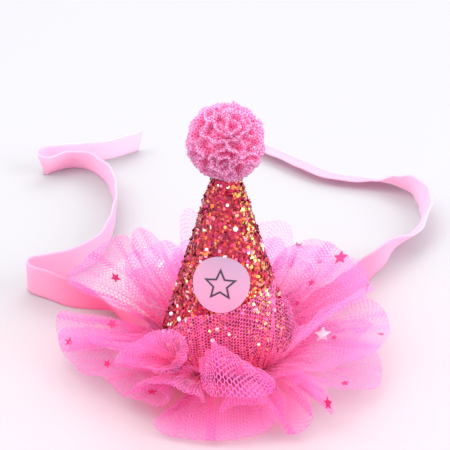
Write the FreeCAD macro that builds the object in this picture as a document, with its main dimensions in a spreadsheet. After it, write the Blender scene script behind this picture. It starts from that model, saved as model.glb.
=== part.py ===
# Small party hat: a glitter cone with a pompom, three gathered tulle layers, a felt base and two flat ties.
# Millimetres, +Z up, origin at the centre of the felt underside, the badge faces -Y.
import FreeCAD, Part
import Sketcher
import math
import os
from FreeCAD import Vector, Placement, Rotation

doc = FreeCAD.newDocument("party_hat")
sheet = doc.addObject("Spreadsheet::Sheet", "Dims")

DIMS = [
    ("felt_radius", 30.0), ("felt_thick", 1.5), ("film_thick", 1.0), ("film_radius", 29.5),
    ("heading_inner", 22.0), ("heading_thick", 1.5), ("thread_radius", 0.3), ("thread_ring", 23.6),
    ("cone_radius", 29.0), ("cone_foot", 9.7), ("cone_top", 89.0), ("cone_top_radius", 5.7),
    ("canvas_thick", 0.6), ("liner_thick", 0.8), ("seam_width", 7.0),
    ("plug_foot", 80.0), ("pompom_radius", 16.5), ("pompom_centre", 104.3), ("pompom_bore", 1.6),
    ("cord_radius", 0.5), ("cord_foot", 76.0), ("knot_radius", 1.5),
    ("badge_height", 47.0), ("badge_bearing", -7.2), ("badge_radius", 12.1), ("badge_card_radius", 11.7), ("badge_pad_radius", 10.4),
    ("badge_pad_thick", 0.4), ("badge_card_thick", 0.8), ("badge_satin_thick", 0.35), ("badge_ink_thick", 0.12),
    ("badge_star_outer", 7.4), ("badge_star_line", 0.9),
    ("ruffle_thick", 2.0), ("ruffle_waves", 12), ("ruffle_phase", 152.5),
    ("lower_radius", 73.0), ("lower_edge", 11.0), ("lower_wave", 7.5),
    ("middle_radius", 70.0), ("middle_edge", 24.0), ("middle_wave", 7.0),
    ("upper_radius", 62.0), ("upper_edge", 38.5), ("upper_wave", 6.2),
    ("sequin_radius", 2.9), ("sequin_thick", 0.3),
    ("tie_width", 16.0), ("tie_thick", 1.0), ("tie_floor", 0.2), ("tie_tab", 21.0),
    ("tack_length", 9.0), ("tack_thick", 0.7), ("glue_ring_inner", 19.6),
]
for row, (alias, value) in enumerate(DIMS, start=1):
    sheet.set("A%d" % row, alias)
    sheet.set("B%d" % row, str(value))
    sheet.setAlias("B%d" % row, alias)
doc.recompute()


def dim(alias):
    return float(sheet.get(alias))


NODES = []


def keep(obj, name):
    obj.Label = name
    NODES.append((obj, name))
    return obj


def plane(body, role):
    return [f for f in body.Origin.OriginFeatures if f.Role == role][0]


def profile_sketch(body, name, points):
    """A closed polygon in the XZ plane: points are (x, z, x expression, z expression), x from the axis."""
    sk = body.newObject("Sketcher::SketchObject", name)
    sk.AttachmentSupport = [(plane(body, "XZ_Plane"), "")]
    sk.MapMode = "FlatFace"
    n = len(points)
    for i in range(n):
        a, b = points[i], points[(i + 1) % n]
        sk.addGeometry(Part.LineSegment(Vector(a[0], a[1], 0), Vector(b[0], b[1], 0)), False)
    for i in range(n):
        sk.addConstraint(Sketcher.Constraint("Coincident", i, 2, (i + 1) % n, 1))
    for i, (x, z, ex, ez) in enumerate(points):
        if ex is None:
            sk.addConstraint(Sketcher.Constraint("PointOnObject", i, 1, -2))
        else:
            k = sk.addConstraint(Sketcher.Constraint("DistanceX", -1, 1, i, 1, x))
            sk.setExpression("Constraints[%d]" % k, ex)
        if ez is None:
            sk.addConstraint(Sketcher.Constraint("PointOnObject", i, 1, -1))
        else:
            k = sk.addConstraint(Sketcher.Constraint("DistanceY", -1, 1, i, 1, z))
            sk.setExpression("Constraints[%d]" % k, ez)
    return sk


def turned(name, points):
    """A PartDesign body: a profile revolved round +Z."""
    body = doc.addObject("PartDesign::Body", name + "_body")
    sk = profile_sketch(body, name + "_profile", points)
    rev = body.newObject("PartDesign::Revolution", name + "_turn")
    rev.Profile = sk
    rev.ReferenceAxis = (sk, ["V_Axis"])
    rev.Angle = 360.0
    body.Tip = rev
    sk.Visibility = False
    return body


def disc(name, radius_ex, radius, foot_ex, foot, thick_ex, thick):
    """A PartDesign body: a circle padded upwards from a given height."""
    body = doc.addObject("PartDesign::Body", name + "_body")
    sk = body.newObject("Sketcher::SketchObject", name + "_outline")
    sk.AttachmentSupport = [(plane(body, "XY_Plane"), "")]
    sk.MapMode = "FlatFace"
    sk.AttachmentOffset = Placement(Vector(0, 0, foot), Rotation())
    if foot_ex:
        sk.setExpression("AttachmentOffset.Base.z", foot_ex)
    sk.addGeometry(Part.Circle(Vector(0, 0, 0), Vector(0, 0, 1), radius), False)
    sk.addConstraint(Sketcher.Constraint("Coincident", 0, 3, -1, 1))
    k = sk.addConstraint(Sketcher.Constraint("Radius", 0, radius))
    sk.setExpression("Constraints[%d]" % k, radius_ex)
    pad = body.newObject("PartDesign::Pad", name + "_pad")
    pad.Profile = sk
    pad.Length = thick
    pad.setExpression("Length", thick_ex)
    body.Tip = pad
    return body


# ---------------------------------------------------------------- base stack: backing felt, glue film, base felt
FR, FT, GT = dim("felt_radius"), dim("felt_thick"), dim("film_thick")
top = 2 * FT + GT                                     # top of the felt stack

backing_blank = disc("felt_backing_blank", "Dims.felt_radius", FR, None, 0.0, "Dims.felt_thick", FT)
film_blank = disc("felt_glue_blank", "Dims.film_radius", dim("film_radius"), "Dims.felt_thick", FT, "Dims.film_thick", GT)
base_blank = disc("felt_base_blank", "Dims.felt_radius", FR, "Dims.felt_thick + Dims.film_thick", FT + GT, "Dims.felt_thick", FT)


# ---------------------------------------------------------------- ties: a tab between the felts, a quarter twist, then
# a ribbon standing on its edge along a route of straight runs and tangent arcs
LEFT = [(-28.6, 12.9), (-49.5, 26.5), (-75.2, 35.7), (-86.8, 43.6), (-97.6, 49.6), (-97.6, 57.0), (-88.6, 59.4),
        (-77.5, 63.9), (-64.7, 77.8), (-61.5, 95.2), (-60.0, 118.2), (-61.3, 136.5), (-65.8, 157.5), (-74.6, 175.0),
        (-84.0, 184.5), (-93.5, 186.0), (-101.0, 181.0), (-105.0, 176.0), (-110.0, 178.6), (-109.0, 184.8),
        (-101.5, 190.0), (-88.0, 193.5), (-74.0, 196.5), (-62.0, 203.0), (-52.8, 212.2)]
RIGHT = [(32.6, 10.7), (47.0, 28.6), (66.3, 53.0), (81.3, 73.4), (93.5, 91.5), (103.0, 104.2), (109.0, 118.0),
         (110.5, 131.0), (106.8, 148.5), (98.5, 159.5), (86.5, 165.6), (70.0, 168.6), (55.8, 175.2), (44.6, 188.0),
         (33.0, 200.0), (22.5, 212.0), (10.5, 220.5), (-3.0, 224.0), (-13.5, 219.5), (-17.0, 209.5), (-10.5, 201.0),
         (1.0, 199.0)]


def route_pieces(points, label):
    """Straight runs and tangent arcs, each arc as large as 0.45 of its shorter run allows."""
    pts = [Vector(x, y, 0) for x, y in points]
    runs = [(pts[i + 1] - pts[i]).Length for i in range(len(pts) - 1)]
    pieces, here, radii = [], pts[0], []
    for i in range(1, len(pts) - 1):
        d0 = (pts[i] - pts[i - 1]).normalize()
        d1 = (pts[i + 1] - pts[i]).normalize()
        turn = math.atan2(d0.x * d1.y - d0.y * d1.x, d0.dot(d1))
        t = 0.45 * min(runs[i - 1], runs[i])
        radius = t / math.tan(abs(turn) / 2)
        radii.append(round(radius, 1))
        a, b = pts[i] - d0 * t, pts[i] + d1 * t
        side = 1.0 if turn > 0 else -1.0
        centre = a + Vector(-d0.y, d0.x, 0) * (radius * side)
        pieces.append(("run", here, a))
        pieces.append(("arc", a, b, centre, side, radius, abs(turn)))
        here = b
    pieces.append(("run", here, pts[-1]))
    length = sum((p[2] - p[1]).Length if p[0] == "run" else p[5] * p[6] for p in pieces)
    print(label, "runs", [round(r, 1) for r in runs], "radii", radii, "least", min(radii), "length", round(length, 1))
    return pieces, length


def offset_edges(pieces, off):
    """The route's edges moved sideways by off, to its left."""
    edges = []
    for p in pieces:
        if p[0] == "run":
            d = (p[2] - p[1]).normalize()
            n = Vector(-d.y, d.x, 0) * off
            edges.append(Part.LineSegment(p[1] + n, p[2] + n).toShape())
        else:
            _, a, b, c, side, radius, turn = p
            k = (radius - off * side) / radius
            a2, b2 = c + (a - c) * k, c + (b - c) * k
            m = (a - c) + (b - c)
            mid = c + m.normalize() * (radius * k)
            edges.append(Part.Arc(a2, mid, b2).toShape())
    return edges


TWIST = 0.94                                          # the twist takes this share of the first run


def tie(points, label):
    W, TH, Z0 = dim("tie_width"), dim("tie_thick"), dim("tie_floor")
    pieces, length = route_pieces(points, label)
    # standing ribbon from the end of the twist
    first = pieces[0]
    d = (first[2] - first[1]).normalize()
    n = Vector(-d.y, d.x, 0)
    twist_end = first[1] + (first[2] - first[1]) * TWIST
    rest = [("run", twist_end, first[2])] + pieces[1:]
    rest_len = sum((p[2] - p[1]).Length if p[0] == "run" else p[5] * p[6] for p in rest)
    left, right = offset_edges(rest, TH / 2), offset_edges(rest, -TH / 2)
    e_dir = (rest[-1][2] - rest[-1][1]).normalize()
    e_n = Vector(-e_dir.y, e_dir.x, 0) * (TH / 2)
    end_cap = Part.LineSegment(rest[-1][2] + e_n, rest[-1][2] - e_n).toShape()
    start_cap = Part.LineSegment(twist_end - n * (TH / 2), twist_end + n * (TH / 2)).toShape()
    wire = Part.Wire(Part.__sortEdges__(left + [end_cap] + right + [start_cap]))
    band = Part.Face(wire).extrude(Vector(0, 0, W))
    band.translate(Vector(0, 0, Z0))
    want = rest_len * TH * W
    print(label, "band volume", round(band.Volume, 1), "section x length", round(want, 1))
    # quarter twist from lying flat between the felts to standing on edge
    zflat = dim("felt_thick") + TH / 2
    sections = []
    steps = 8
    for i in range(steps + 1):
        s = i / steps
        ang = math.radians(90.0 * s)
        c = first[1] + (twist_end - first[1]) * s
        c = Vector(c.x, c.y, Z0 + W / 2 * math.sin(ang) + (zflat - Z0) * (1 - s))
        across = n * math.cos(ang) + Vector(0, 0, 1) * math.sin(ang)
        thick = n * (-math.sin(ang)) + Vector(0, 0, 1) * math.cos(ang)
        q = [c + across * (W / 2 * u) + thick * (TH / 2 * v) for u, v in ((-1, -1), (1, -1), (1, 1), (-1, 1))]
        sections.append(Part.makePolygon(q + [q[0]]))
    twist = Part.makeLoft(sections, True, True)
    # flat tab between the felts
    tab = dim("tie_tab")
    o = first[1] - d * tab
    c = [o + n * (W / 2), o - n * (W / 2), first[1] - n * (W / 2), first[1] + n * (W / 2)]
    flat = Part.Face(Part.makePolygon(c + [c[0]])).extrude(Vector(0, 0, TH))
    flat.translate(Vector(0, 0, dim("felt_thick")))
    whole = flat.fuse([twist, band]).removeSplitter()
    print(label, "pieces", len(whole.Solids), "valid", whole.isValid(), "total length", round(length + tab, 1))
    return whole, first[1], d, n, length


def tack(first, d, n, tab):
    """Two dense bar tacks across the tab, right through the felts."""
    out = []
    for along in (0.35, 0.75):
        c = first - d * (tab * along)
        L, T = dim("tack_length") / 2, dim("tack_thick") / 2
        q = [c + n * L - d * T, c + n * L + d * T, c - n * L + d * T, c - n * L - d * T]
        f = Part.Face(Part.makePolygon(q + [q[0]]))
        f.translate(Vector(0, 0, 0.1))
        out.append(f.extrude(Vector(0, 0, 2 * FT + GT - 0.2)))
    return out


tie_shapes, tacks, tab_tools = {}, [], []
for side, pts in (("left", LEFT), ("right", RIGHT)):
    shape, first, d, n, length = tie(pts, "tie_" + side)
    bars = tack(first, d, n, dim("tie_tab"))
    tacks += bars
    tie_shapes[side] = shape.cut(Part.makeCompound(bars))
    o = first - d * dim("tie_tab")
    W = dim("tie_width") / 2
    e = first + d * 4
    c = [o + n * W, o - n * W, e - n * W, e + n * W]
    slot = Part.Face(Part.makePolygon(c + [c[0]])).extrude(Vector(0, 0, GT + 0.4))
    slot.translate(Vector(0, 0, FT - 0.2))
    tab_tools.append(slot)

tack_obj = doc.addObject("Part::Feature", "tie_tacks")
tack_obj.Shape = Part.makeCompound(tacks)
keep(tack_obj, "tie_tacks")
slot_obj = doc.addObject("Part::Feature", "tab_slots")
slot_obj.Shape = Part.makeCompound(tab_tools)
film_tool = doc.addObject("Part::Feature", "film_tool")
film_tool.Shape = tab_tools[0].fuse([tab_tools[1]] + tacks)

for side in ("left", "right"):
    obj = doc.addObject("Part::Feature", "tie_" + side)
    obj.Shape = tie_shapes[side]
    keep(obj, "tie_" + side)

for blank, tool, name in ((backing_blank, tack_obj, "felt_backing"), (film_blank, film_tool, "felt_glue_film"),
                          (base_blank, tack_obj, "felt_base")):
    cut = doc.addObject("Part::Cut", name)
    cut.Base = blank
    cut.Tool = tool
    keep(cut, name)

# ---------------------------------------------------------------- tulle layers: closed fluted rings, one above another
HT, TR = dim("heading_thick"), dim("thread_radius")
heading = {"lower": top + HT / 2, "middle": top + HT * 1.5 + 2 * TR, "upper": top + HT * 2.5 + 4 * TR}
WAVES = int(dim("ruffle_waves"))
PHASE = math.radians(dim("ruffle_phase"))
HI = dim("heading_inner")


def stations(layer):
    z = heading[layer]
    edge_r, edge_z, edge_a = dim(layer + "_radius"), dim(layer + "_edge"), dim(layer + "_wave")
    if layer == "lower":
        mids = [(44.0, 7.0, 2.5), (58.0, 9.0, 5.0)]
    elif layer == "middle":
        mids = [(41.0, 16.3, 1.4), (56.0, 21.0, 4.6)]
    else:
        mids = [(39.5, 21.0, 1.6), (51.0, 30.5, 4.0)]
    return [(HI, z, 0.0), (30.2, z, 0.0)] + mids + [(edge_r, edge_z, edge_a)]


def ring_wire(r, z, amp, shift):
    count = WAVES * 8
    pts = []
    for i in range(count):
        th = 2 * math.pi * i / count
        pts.append(Vector(r * math.cos(th), r * math.sin(th), z + amp * math.cos(WAVES * (th - PHASE)) + shift))
    if amp == 0.0:
        return Part.Wire([Part.Circle(Vector(0, 0, z + shift), Vector(0, 0, 1), r).toShape()])
    curve = Part.BSplineCurve()
    curve.interpolate(Points=pts, PeriodicFlag=True)
    return Part.Wire([curve.toShape()])


def ruffle(layer):
    st = stations(layer)
    tops, bots = [], []
    for k, (r, z, amp) in enumerate(st):
        half = HT / 2 if k < 2 else dim("ruffle_thick") / 2
        tops.append(ring_wire(r, z, amp, half))
        bots.append(ring_wire(r, z, amp, -half))
    faces = []
    for ws in (tops, bots):
        for a, b in zip(ws, ws[1:]):
            faces += Part.makeRuledSurface(a.Edges[0], b.Edges[0]).Faces
    for a, b in ((tops[0], bots[0]), (tops[-1], bots[-1])):
        faces += Part.makeRuledSurface(a.Edges[0], b.Edges[0]).Faces
    shell = Part.Shell(faces)
    shell.sewShape()
    solid = Part.Solid(Part.Shell(shell.Faces) if shell.ShapeType != "Shell" else shell)
    if solid.Volume < 0:
        solid.reverse()
    return solid


def on_crest(layer, r):
    """Height, slope and top offset of a layer's crest at radius r."""
    st = stations(layer)
    for (r0, z0, a0), (r1, z1, a1) in zip(st, st[1:]):
        if r0 <= r <= r1:
            f = (r - r0) / (r1 - r0)
            slope = (z1 + a1 - z0 - a0) / (r1 - r0)
            return z0 + a0 + (z1 + a1 - z0 - a0) * f, slope
    raise ValueError("radius outside the layer")


shapes = {layer: ruffle(layer) for layer in ("lower", "middle", "upper")}

# the lowest layer is parted where each tie comes out under it
for pts in (LEFT, RIGHT):
    p = [Vector(x, y, 0) for x, y in pts[:4]]
    d0 = (p[1] - p[0]).normalize()
    n0 = Vector(-d0.y, d0.x, 0)
    d1 = (p[2] - p[1]).normalize()
    n1 = Vector(-d1.y, d1.x, 0)
    far = p[2] + d1 * 6
    outline = [p[0] + n0 * 9.2 - d0 * 0.6, p[0] + (p[1] - p[0]) * 0.55 + n0 * 7.4, p[1] + n0 * 3.2, far + n1 * 2.6,
               far - n1 * 2.6, p[1] - n0 * 3.2, p[0] + (p[1] - p[0]) * 0.55 - n0 * 7.4, p[0] - n0 * 9.2 - d0 * 0.6]
    prism = Part.Face(Part.makePolygon(outline + [outline[0]])).extrude(Vector(0, 0, 30))
    shapes["lower"] = shapes["lower"].cut(prism)
for layer in ("lower", "middle", "upper"):
    obj = doc.addObject("Part::Feature", "ruffle_" + layer)
    obj.Shape = shapes[layer]
    keep(obj, "ruffle_" + layer)
    print("ruffle", layer, "solids", len(shapes[layer].Solids), "volume", round(shapes[layer].Volume, 1))
    thread = doc.addObject("Part::Torus", "gathering_thread_" + layer)
    thread.setExpression("Radius1", "Dims.thread_ring")
    thread.setExpression("Radius2", "Dims.thread_radius")
    thread.Placement = Placement(Vector(0, 0, heading[layer] + HT / 2 + TR), Rotation())
    keep(thread, "gathering_thread_" + layer)

# hot-melt ring that ties the three headings to the felt, and the bead inside the foot of the cone
ring_top = heading["upper"] + HT / 2 + 0.5
keep(turned("ruffle_glue_ring", [
    (dim("glue_ring_inner"), top, "Dims.glue_ring_inner", "2 * Dims.felt_thick + Dims.film_thick"),
    (HI, top, "Dims.heading_inner", "2 * Dims.felt_thick + Dims.film_thick"),
    (HI, ring_top, "Dims.heading_inner", "2 * Dims.felt_thick + Dims.film_thick + 3 * Dims.heading_thick + 4 * Dims.thread_radius + 0.5"),
    (dim("glue_ring_inner") + 1.0, ring_top, "Dims.glue_ring_inner + 1", "2 * Dims.felt_thick + Dims.film_thick + 3 * Dims.heading_thick + 4 * Dims.thread_radius + 0.5"),
]), "ruffle_glue_ring")

# ---------------------------------------------------------------- cone: card liner inside a glitter canvas shell
CR, CF, CT, CTR = dim("cone_radius"), dim("cone_foot"), dim("cone_top"), dim("cone_top_radius")
CA, LI = dim("canvas_thick"), dim("liner_thick")
half = math.atan2(CR - CTR, CT - CF)
SEC = "* sqrt(1 + ((Dims.cone_radius - Dims.cone_top_radius) / (Dims.cone_top - Dims.cone_foot))^2)"
ch = math.cos(half)
canvas = turned("canvas", [
    (CR, CF, "Dims.cone_radius", "Dims.cone_foot"),
    (CTR, CT, "Dims.cone_top_radius", "Dims.cone_top"),
    (CTR - CA / ch, CT, "Dims.cone_top_radius - Dims.canvas_thick " + SEC, "Dims.cone_top"),
    (CR - CA / ch, CF, "Dims.cone_radius - Dims.canvas_thick " + SEC, "Dims.cone_foot"),
])
keep(turned("liner", [
    (CR - CA / ch - 0.05, CF, "Dims.cone_radius - Dims.canvas_thick " + SEC + " - 0.05", "Dims.cone_foot"),
    (CTR - CA / ch - 0.05, CT, "Dims.cone_top_radius - Dims.canvas_thick " + SEC + " - 0.05", "Dims.cone_top"),
    (CTR - (CA + LI) / ch - 0.05, CT, "Dims.cone_top_radius - (Dims.canvas_thick + Dims.liner_thick) " + SEC + " - 0.05", "Dims.cone_top"),
    (CR - (CA + LI) / ch - 0.05, CF, "Dims.cone_radius - (Dims.canvas_thick + Dims.liner_thick) " + SEC + " - 0.05", "Dims.cone_foot"),
]), "cone_liner")


def cone_between(name, t0, t1):
    """A conical skin between two offsets from the canvas, both cones bound to the sheet."""
    made = []
    for tag, t in (("outer", t1), ("inner", t0)):
        c = doc.addObject("Part::Cone", name + "_" + tag)
        c.setExpression("Radius1", "Dims.cone_radius + (%s) %s" % (t, SEC))
        c.setExpression("Radius2", "Dims.cone_top_radius + (%s) %s" % (t, SEC))
        c.setExpression("Height", "Dims.cone_top - Dims.cone_foot")
        c.setExpression("Placement.Base.z", "Dims.cone_foot")
        made.append(c)
    cut = doc.addObject("Part::Cut", name)
    cut.Base, cut.Tool = made
    return cut


def common(name, a, b):
    c = doc.addObject("Part::Common", name)
    c.Base, c.Tool = a, b
    return c


# the canvas overlaps itself down the back: a second thickness, seam_width wide
seam_skin = cone_between("seam_skin", "-0.1", "Dims.canvas_thick")
seam_box = doc.addObject("Part::Box", "seam_box")
seam_box.setExpression("Length", "Dims.seam_width")
seam_box.setExpression("Width", "Dims.cone_radius + 5")
seam_box.setExpression("Height", "Dims.cone_top - Dims.cone_foot")
seam_box.setExpression("Placement.Base.x", "-Dims.seam_width / 2")
seam_box.setExpression("Placement.Base.z", "Dims.cone_foot")
seam = common("seam_overlap", seam_skin, seam_box)
shell_union = doc.addObject("Part::Fuse", "cone_shell")
shell_union.Base, shell_union.Tool = canvas, seam
keep(shell_union, "cone_shell")

# bead inside the foot of the cone
inner = CR - (CA + LI) / ch - 0.1
slope = (CR - CTR) / (CT - CF)
keep(turned("cone_base_glue", [
    (inner - 2.2, CF, "Dims.cone_radius - (Dims.canvas_thick + Dims.liner_thick) " + SEC + " - 2.3", "Dims.cone_foot"),
    (inner, CF, "Dims.cone_radius - (Dims.canvas_thick + Dims.liner_thick) " + SEC + " - 0.1", "Dims.cone_foot"),
    (inner - 2.2 * slope, CF + 2.2, "Dims.cone_radius - (Dims.canvas_thick + Dims.liner_thick) " + SEC + " - 0.1 - 2.2 * (Dims.cone_radius - Dims.cone_top_radius) / (Dims.cone_top - Dims.cone_foot)", "Dims.cone_foot + 2.2"),
]), "cone_base_glue")

# hot-melt plug in the tip, with the thread of the pompom set in it
PF = dim("plug_foot")
r_foot = CR - (CA + LI) / ch - 0.1 - (PF - CF) * slope
r_head = CTR - (CA + LI) / ch - 0.1
KR = dim("cord_radius")
keep(turned("tip_glue_plug", [
    (KR, PF, "Dims.cord_radius", "Dims.plug_foot"),
    (r_foot, PF, "Dims.cone_radius - (Dims.canvas_thick + Dims.liner_thick) " + SEC + " - 0.1 - (Dims.plug_foot - Dims.cone_foot) * (Dims.cone_radius - Dims.cone_top_radius) / (Dims.cone_top - Dims.cone_foot)", "Dims.plug_foot"),
    (r_head, CT, "Dims.cone_top_radius - (Dims.canvas_thick + Dims.liner_thick) " + SEC + " - 0.1", "Dims.cone_top"),
    (KR, CT, "Dims.cord_radius", "Dims.cone_top"),
]), "tip_glue_plug")

# thread of the pompom: a stem from below the plug to a knot in the middle of the ball
stem = doc.addObject("Part::Cylinder", "pompom_stem")
stem.setExpression("Radius", "Dims.cord_radius")
stem.setExpression("Height", "Dims.pompom_centre - Dims.cord_foot")
stem.setExpression("Placement.Base.z", "Dims.cord_foot")
knot = doc.addObject("Part::Sphere", "pompom_knot")
knot.setExpression("Radius", "Dims.knot_radius")
knot.setExpression("Placement.Base.z", "Dims.pompom_centre")
thread = doc.addObject("Part::Fuse", "pompom_tie_thread")
thread.Base, thread.Tool = stem, knot
keep(thread, "pompom_tie_thread")

# pompom: a ball flattened where it sits on the tip, hollow up its core for the thread
ball = doc.addObject("Part::Sphere", "pompom_ball")
ball.setExpression("Radius", "Dims.pompom_radius")
ball.setExpression("Placement.Base.z", "Dims.pompom_centre")
below = doc.addObject("Part::Box", "pompom_below")
below.setExpression("Length", "4 * Dims.pompom_radius")
below.setExpression("Width", "4 * Dims.pompom_radius")
below.setExpression("Height", "2 * Dims.pompom_radius")
below.setExpression("Placement.Base.x", "-2 * Dims.pompom_radius")
below.setExpression("Placement.Base.y", "-2 * Dims.pompom_radius")
below.setExpression("Placement.Base.z", "Dims.cone_top - 2 * Dims.pompom_radius")
flat = doc.addObject("Part::Cut", "pompom_flat")
flat.Base, flat.Tool = ball, below
core = doc.addObject("Part::Cylinder", "pompom_core")
core.setExpression("Radius", "Dims.pompom_bore")
core.setExpression("Height", "Dims.pompom_centre - Dims.cone_top + Dims.pompom_bore + 0.5")
core.setExpression("Placement.Base.z", "Dims.cone_top")
pom = doc.addObject("Part::Cut", "pompom")
pom.Base, pom.Tool = flat, core
keep(pom, "pompom")

# ---------------------------------------------------------------- badge: pad, card disc, satin cover, printed outline star
BH = dim("badge_height")
front = CR - (BH - CF) * slope
tilt = math.degrees(math.atan(slope))
BADGE_ROT = Rotation(Vector(1, 0, 0), 90.0 - tilt)     # a cylinder's +Z turned to the canvas's outward normal
BADGE_TURN = Placement(Vector(0, 0, 0), Rotation(Vector(0, 0, 1), dim("badge_bearing")))     # the badge sits a little to the left of the front line


def badge_bar(name, radius_ex):
    """A bar square to the canvas at the badge's centre, long enough to cut a round patch from a skin."""
    c = doc.addObject("Part::Cylinder", name)
    c.setExpression("Radius", radius_ex)
    c.Height = 16.0
    normal = Vector(0, -math.cos(math.radians(tilt)), math.sin(math.radians(tilt)))
    c.Placement = BADGE_TURN.multiply(Placement(Vector(0, -front, BH) - normal * 8.0, BADGE_ROT))
    return c


PAD, CARD = "Dims.badge_pad_thick", "Dims.badge_pad_thick + Dims.badge_card_thick"
SATIN = CARD + " + Dims.badge_satin_thick"
keep(common("badge_adhesive", cone_between("pad_skin", "0.02", PAD), badge_bar("pad_bar", "Dims.badge_pad_radius")), "badge_adhesive")
card = common("badge_card", cone_between("card_skin", PAD, CARD), badge_bar("card_bar", "Dims.badge_card_radius"))
keep(card, "badge_card")
satin_blank = common("badge_satin_blank", cone_between("satin_skin", PAD, SATIN), badge_bar("satin_bar", "Dims.badge_radius"))
satin = doc.addObject("Part::Cut", "badge_satin_cover")
satin.Base, satin.Tool = satin_blank, card
keep(satin, "badge_satin_cover")


def star_points(radius, inner, turn=0.0):
    return [Vector((radius if i % 2 == 0 else inner) * math.sin(turn + math.pi * i / 5),
                   (radius if i % 2 == 0 else inner) * math.cos(turn + math.pi * i / 5), 0) for i in range(10)]


def star_face(radius, inner, turn=0.0):
    q = star_points(radius, inner, turn)
    return Part.Face(Part.makePolygon(q + [q[0]]))


so, sl = dim("badge_star_outer"), dim("badge_star_line")
outline = star_face(so, so * 0.46).cut(star_face(so - sl * 2.1, (so - sl * 2.1) * 0.46))
bar = outline.extrude(Vector(0, 0, 16.0))
bar.Placement = BADGE_TURN.multiply(Placement(Vector(0, -front, BH) + Vector(0, math.cos(math.radians(tilt)), -math.sin(math.radians(tilt))) * 2.0, BADGE_ROT))
star_bar = doc.addObject("Part::Feature", "badge_star_bar")
star_bar.Shape = bar
keep(common("badge_print", cone_between("ink_skin", SATIN, SATIN + " + Dims.badge_ink_thick"), star_bar), "badge_print")

# ---------------------------------------------------------------- foil stars lying on the crests of the tulle layers
# layer, crest counted from the phase angle, radius
PINK = [("upper", 0, 52), ("upper", -1, 50), ("upper", -2, 54), ("upper", -3, 50), ("upper", -4, 55), ("upper", -5, 49),
        ("upper", 1, 51), ("middle", 1, 63), ("middle", 2, 61), ("middle", 6, 64), ("middle", 5, 61),
        ("middle", 4, 58), ("lower", 1, 67), ("lower", 2, 66), ("lower", 3, 67), ("lower", 5, 67),
        ("lower", 6, 68), ("lower", -5, 67), ("lower", -3, 66), ("lower", -2, 67), ("lower", -1, 66)]
SILVER = [("middle", 6, 50), ("middle", -2, 60), ("lower", 4, 67)]


def sequin(layer, crest, r, k):
    z, slope = on_crest(layer, r)
    a = PHASE + 2 * math.pi * crest / WAVES
    out = Vector(math.cos(a), math.sin(a), 0)
    along = Vector(out.x, out.y, slope).normalize()
    side = Vector(-out.y, out.x, 0)
    normal = along.cross(side)
    if normal.z < 0:
        normal = normal * -1
    R = dim("sequin_radius")
    prism = star_face(R, R * 0.45, 0.7 * k).extrude(Vector(0, 0, dim("sequin_thick")))
    here = Vector(out.x * r, out.y * r, z) + normal * (dim("ruffle_thick") / 2 * 1.25 + 0.15)
    prism.Placement = Placement(here, Rotation(side.cross(normal) * 1.0, side, normal, "ZXY"))
    return prism


for name, where in (("star_sequins_pink", PINK), ("star_sequins_silver", SILVER)):
    obj = doc.addObject("Part::Feature", name)
    obj.Shape = Part.makeCompound([sequin(layer, crest, r, k) for k, (layer, crest, r) in enumerate(where)])
    keep(obj, name)

# ---------------------------------------------------------------- check and write
doc.recompute()
bad = []
for obj in doc.Objects:
    if "Invalid" in obj.State or "Error" in obj.State:
        bad.append((obj.Name, obj.State))
for obj, name in NODES:
    sh = obj.Shape
    if sh.isNull() or not sh.isValid() or not sh.Solids or sh.Volume <= 0:
        bad.append((name, "null, invalid or empty"))
if bad:
    raise RuntimeError("not written: %s" % bad)
os.makedirs("parts", exist_ok=True)
for old in os.listdir("parts"):
    if old.endswith(".step"):
        os.remove(os.path.join("parts", old))
for obj, name in NODES:
    obj.Shape.exportStep("parts/%s.step" % name)
    b = obj.Shape.BoundBox
    print("%-26s solids %2d volume %9.1f  z %6.2f %6.2f" % (name, len(obj.Shape.Solids), obj.Shape.Volume, b.ZMin, b.ZMax))
print("nodes", len(NODES))
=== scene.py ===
import math
import random

import bmesh
import bpy
import numpy as np
from mathutils import Matrix, Vector
from mathutils.bvhtree import BVHTree


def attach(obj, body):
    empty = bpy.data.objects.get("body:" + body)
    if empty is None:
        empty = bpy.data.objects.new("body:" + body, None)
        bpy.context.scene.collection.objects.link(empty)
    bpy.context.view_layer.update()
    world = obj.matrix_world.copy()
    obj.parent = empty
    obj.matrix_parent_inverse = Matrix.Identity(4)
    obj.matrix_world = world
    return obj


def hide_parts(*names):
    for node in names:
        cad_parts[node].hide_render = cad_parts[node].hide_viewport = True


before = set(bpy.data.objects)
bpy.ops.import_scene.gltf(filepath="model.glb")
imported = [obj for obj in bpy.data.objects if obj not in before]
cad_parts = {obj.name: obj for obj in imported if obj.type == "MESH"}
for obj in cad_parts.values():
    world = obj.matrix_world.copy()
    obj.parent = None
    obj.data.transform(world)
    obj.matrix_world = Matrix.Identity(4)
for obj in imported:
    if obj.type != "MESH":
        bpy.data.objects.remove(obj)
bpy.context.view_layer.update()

MM = 0.001
scene = bpy.context.scene
ROOT = "root"


# ------------------------------------------------------------------ camera
cam_data = bpy.data.cameras.new("camera")
cam_data.sensor_width = 36.0
cam_data.lens = 1113.0 / 450.0 * 36.0
cam_data.shift_x = -1.0 / 450.0
cam_data.clip_start, cam_data.clip_end = 0.01, 20.0
cam = bpy.data.objects.new("camera", cam_data)
cam.location = (0.0, -0.414, 0.295)
cam.rotation_euler = (math.radians(90 - 29), 0, 0)
scene.collection.objects.link(cam)
scene.camera = cam


# ------------------------------------------------------------------ helpers
def link(name, mesh):
    ob = bpy.data.objects.new(name, mesh)
    scene.collection.objects.link(ob)
    return ob


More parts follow.
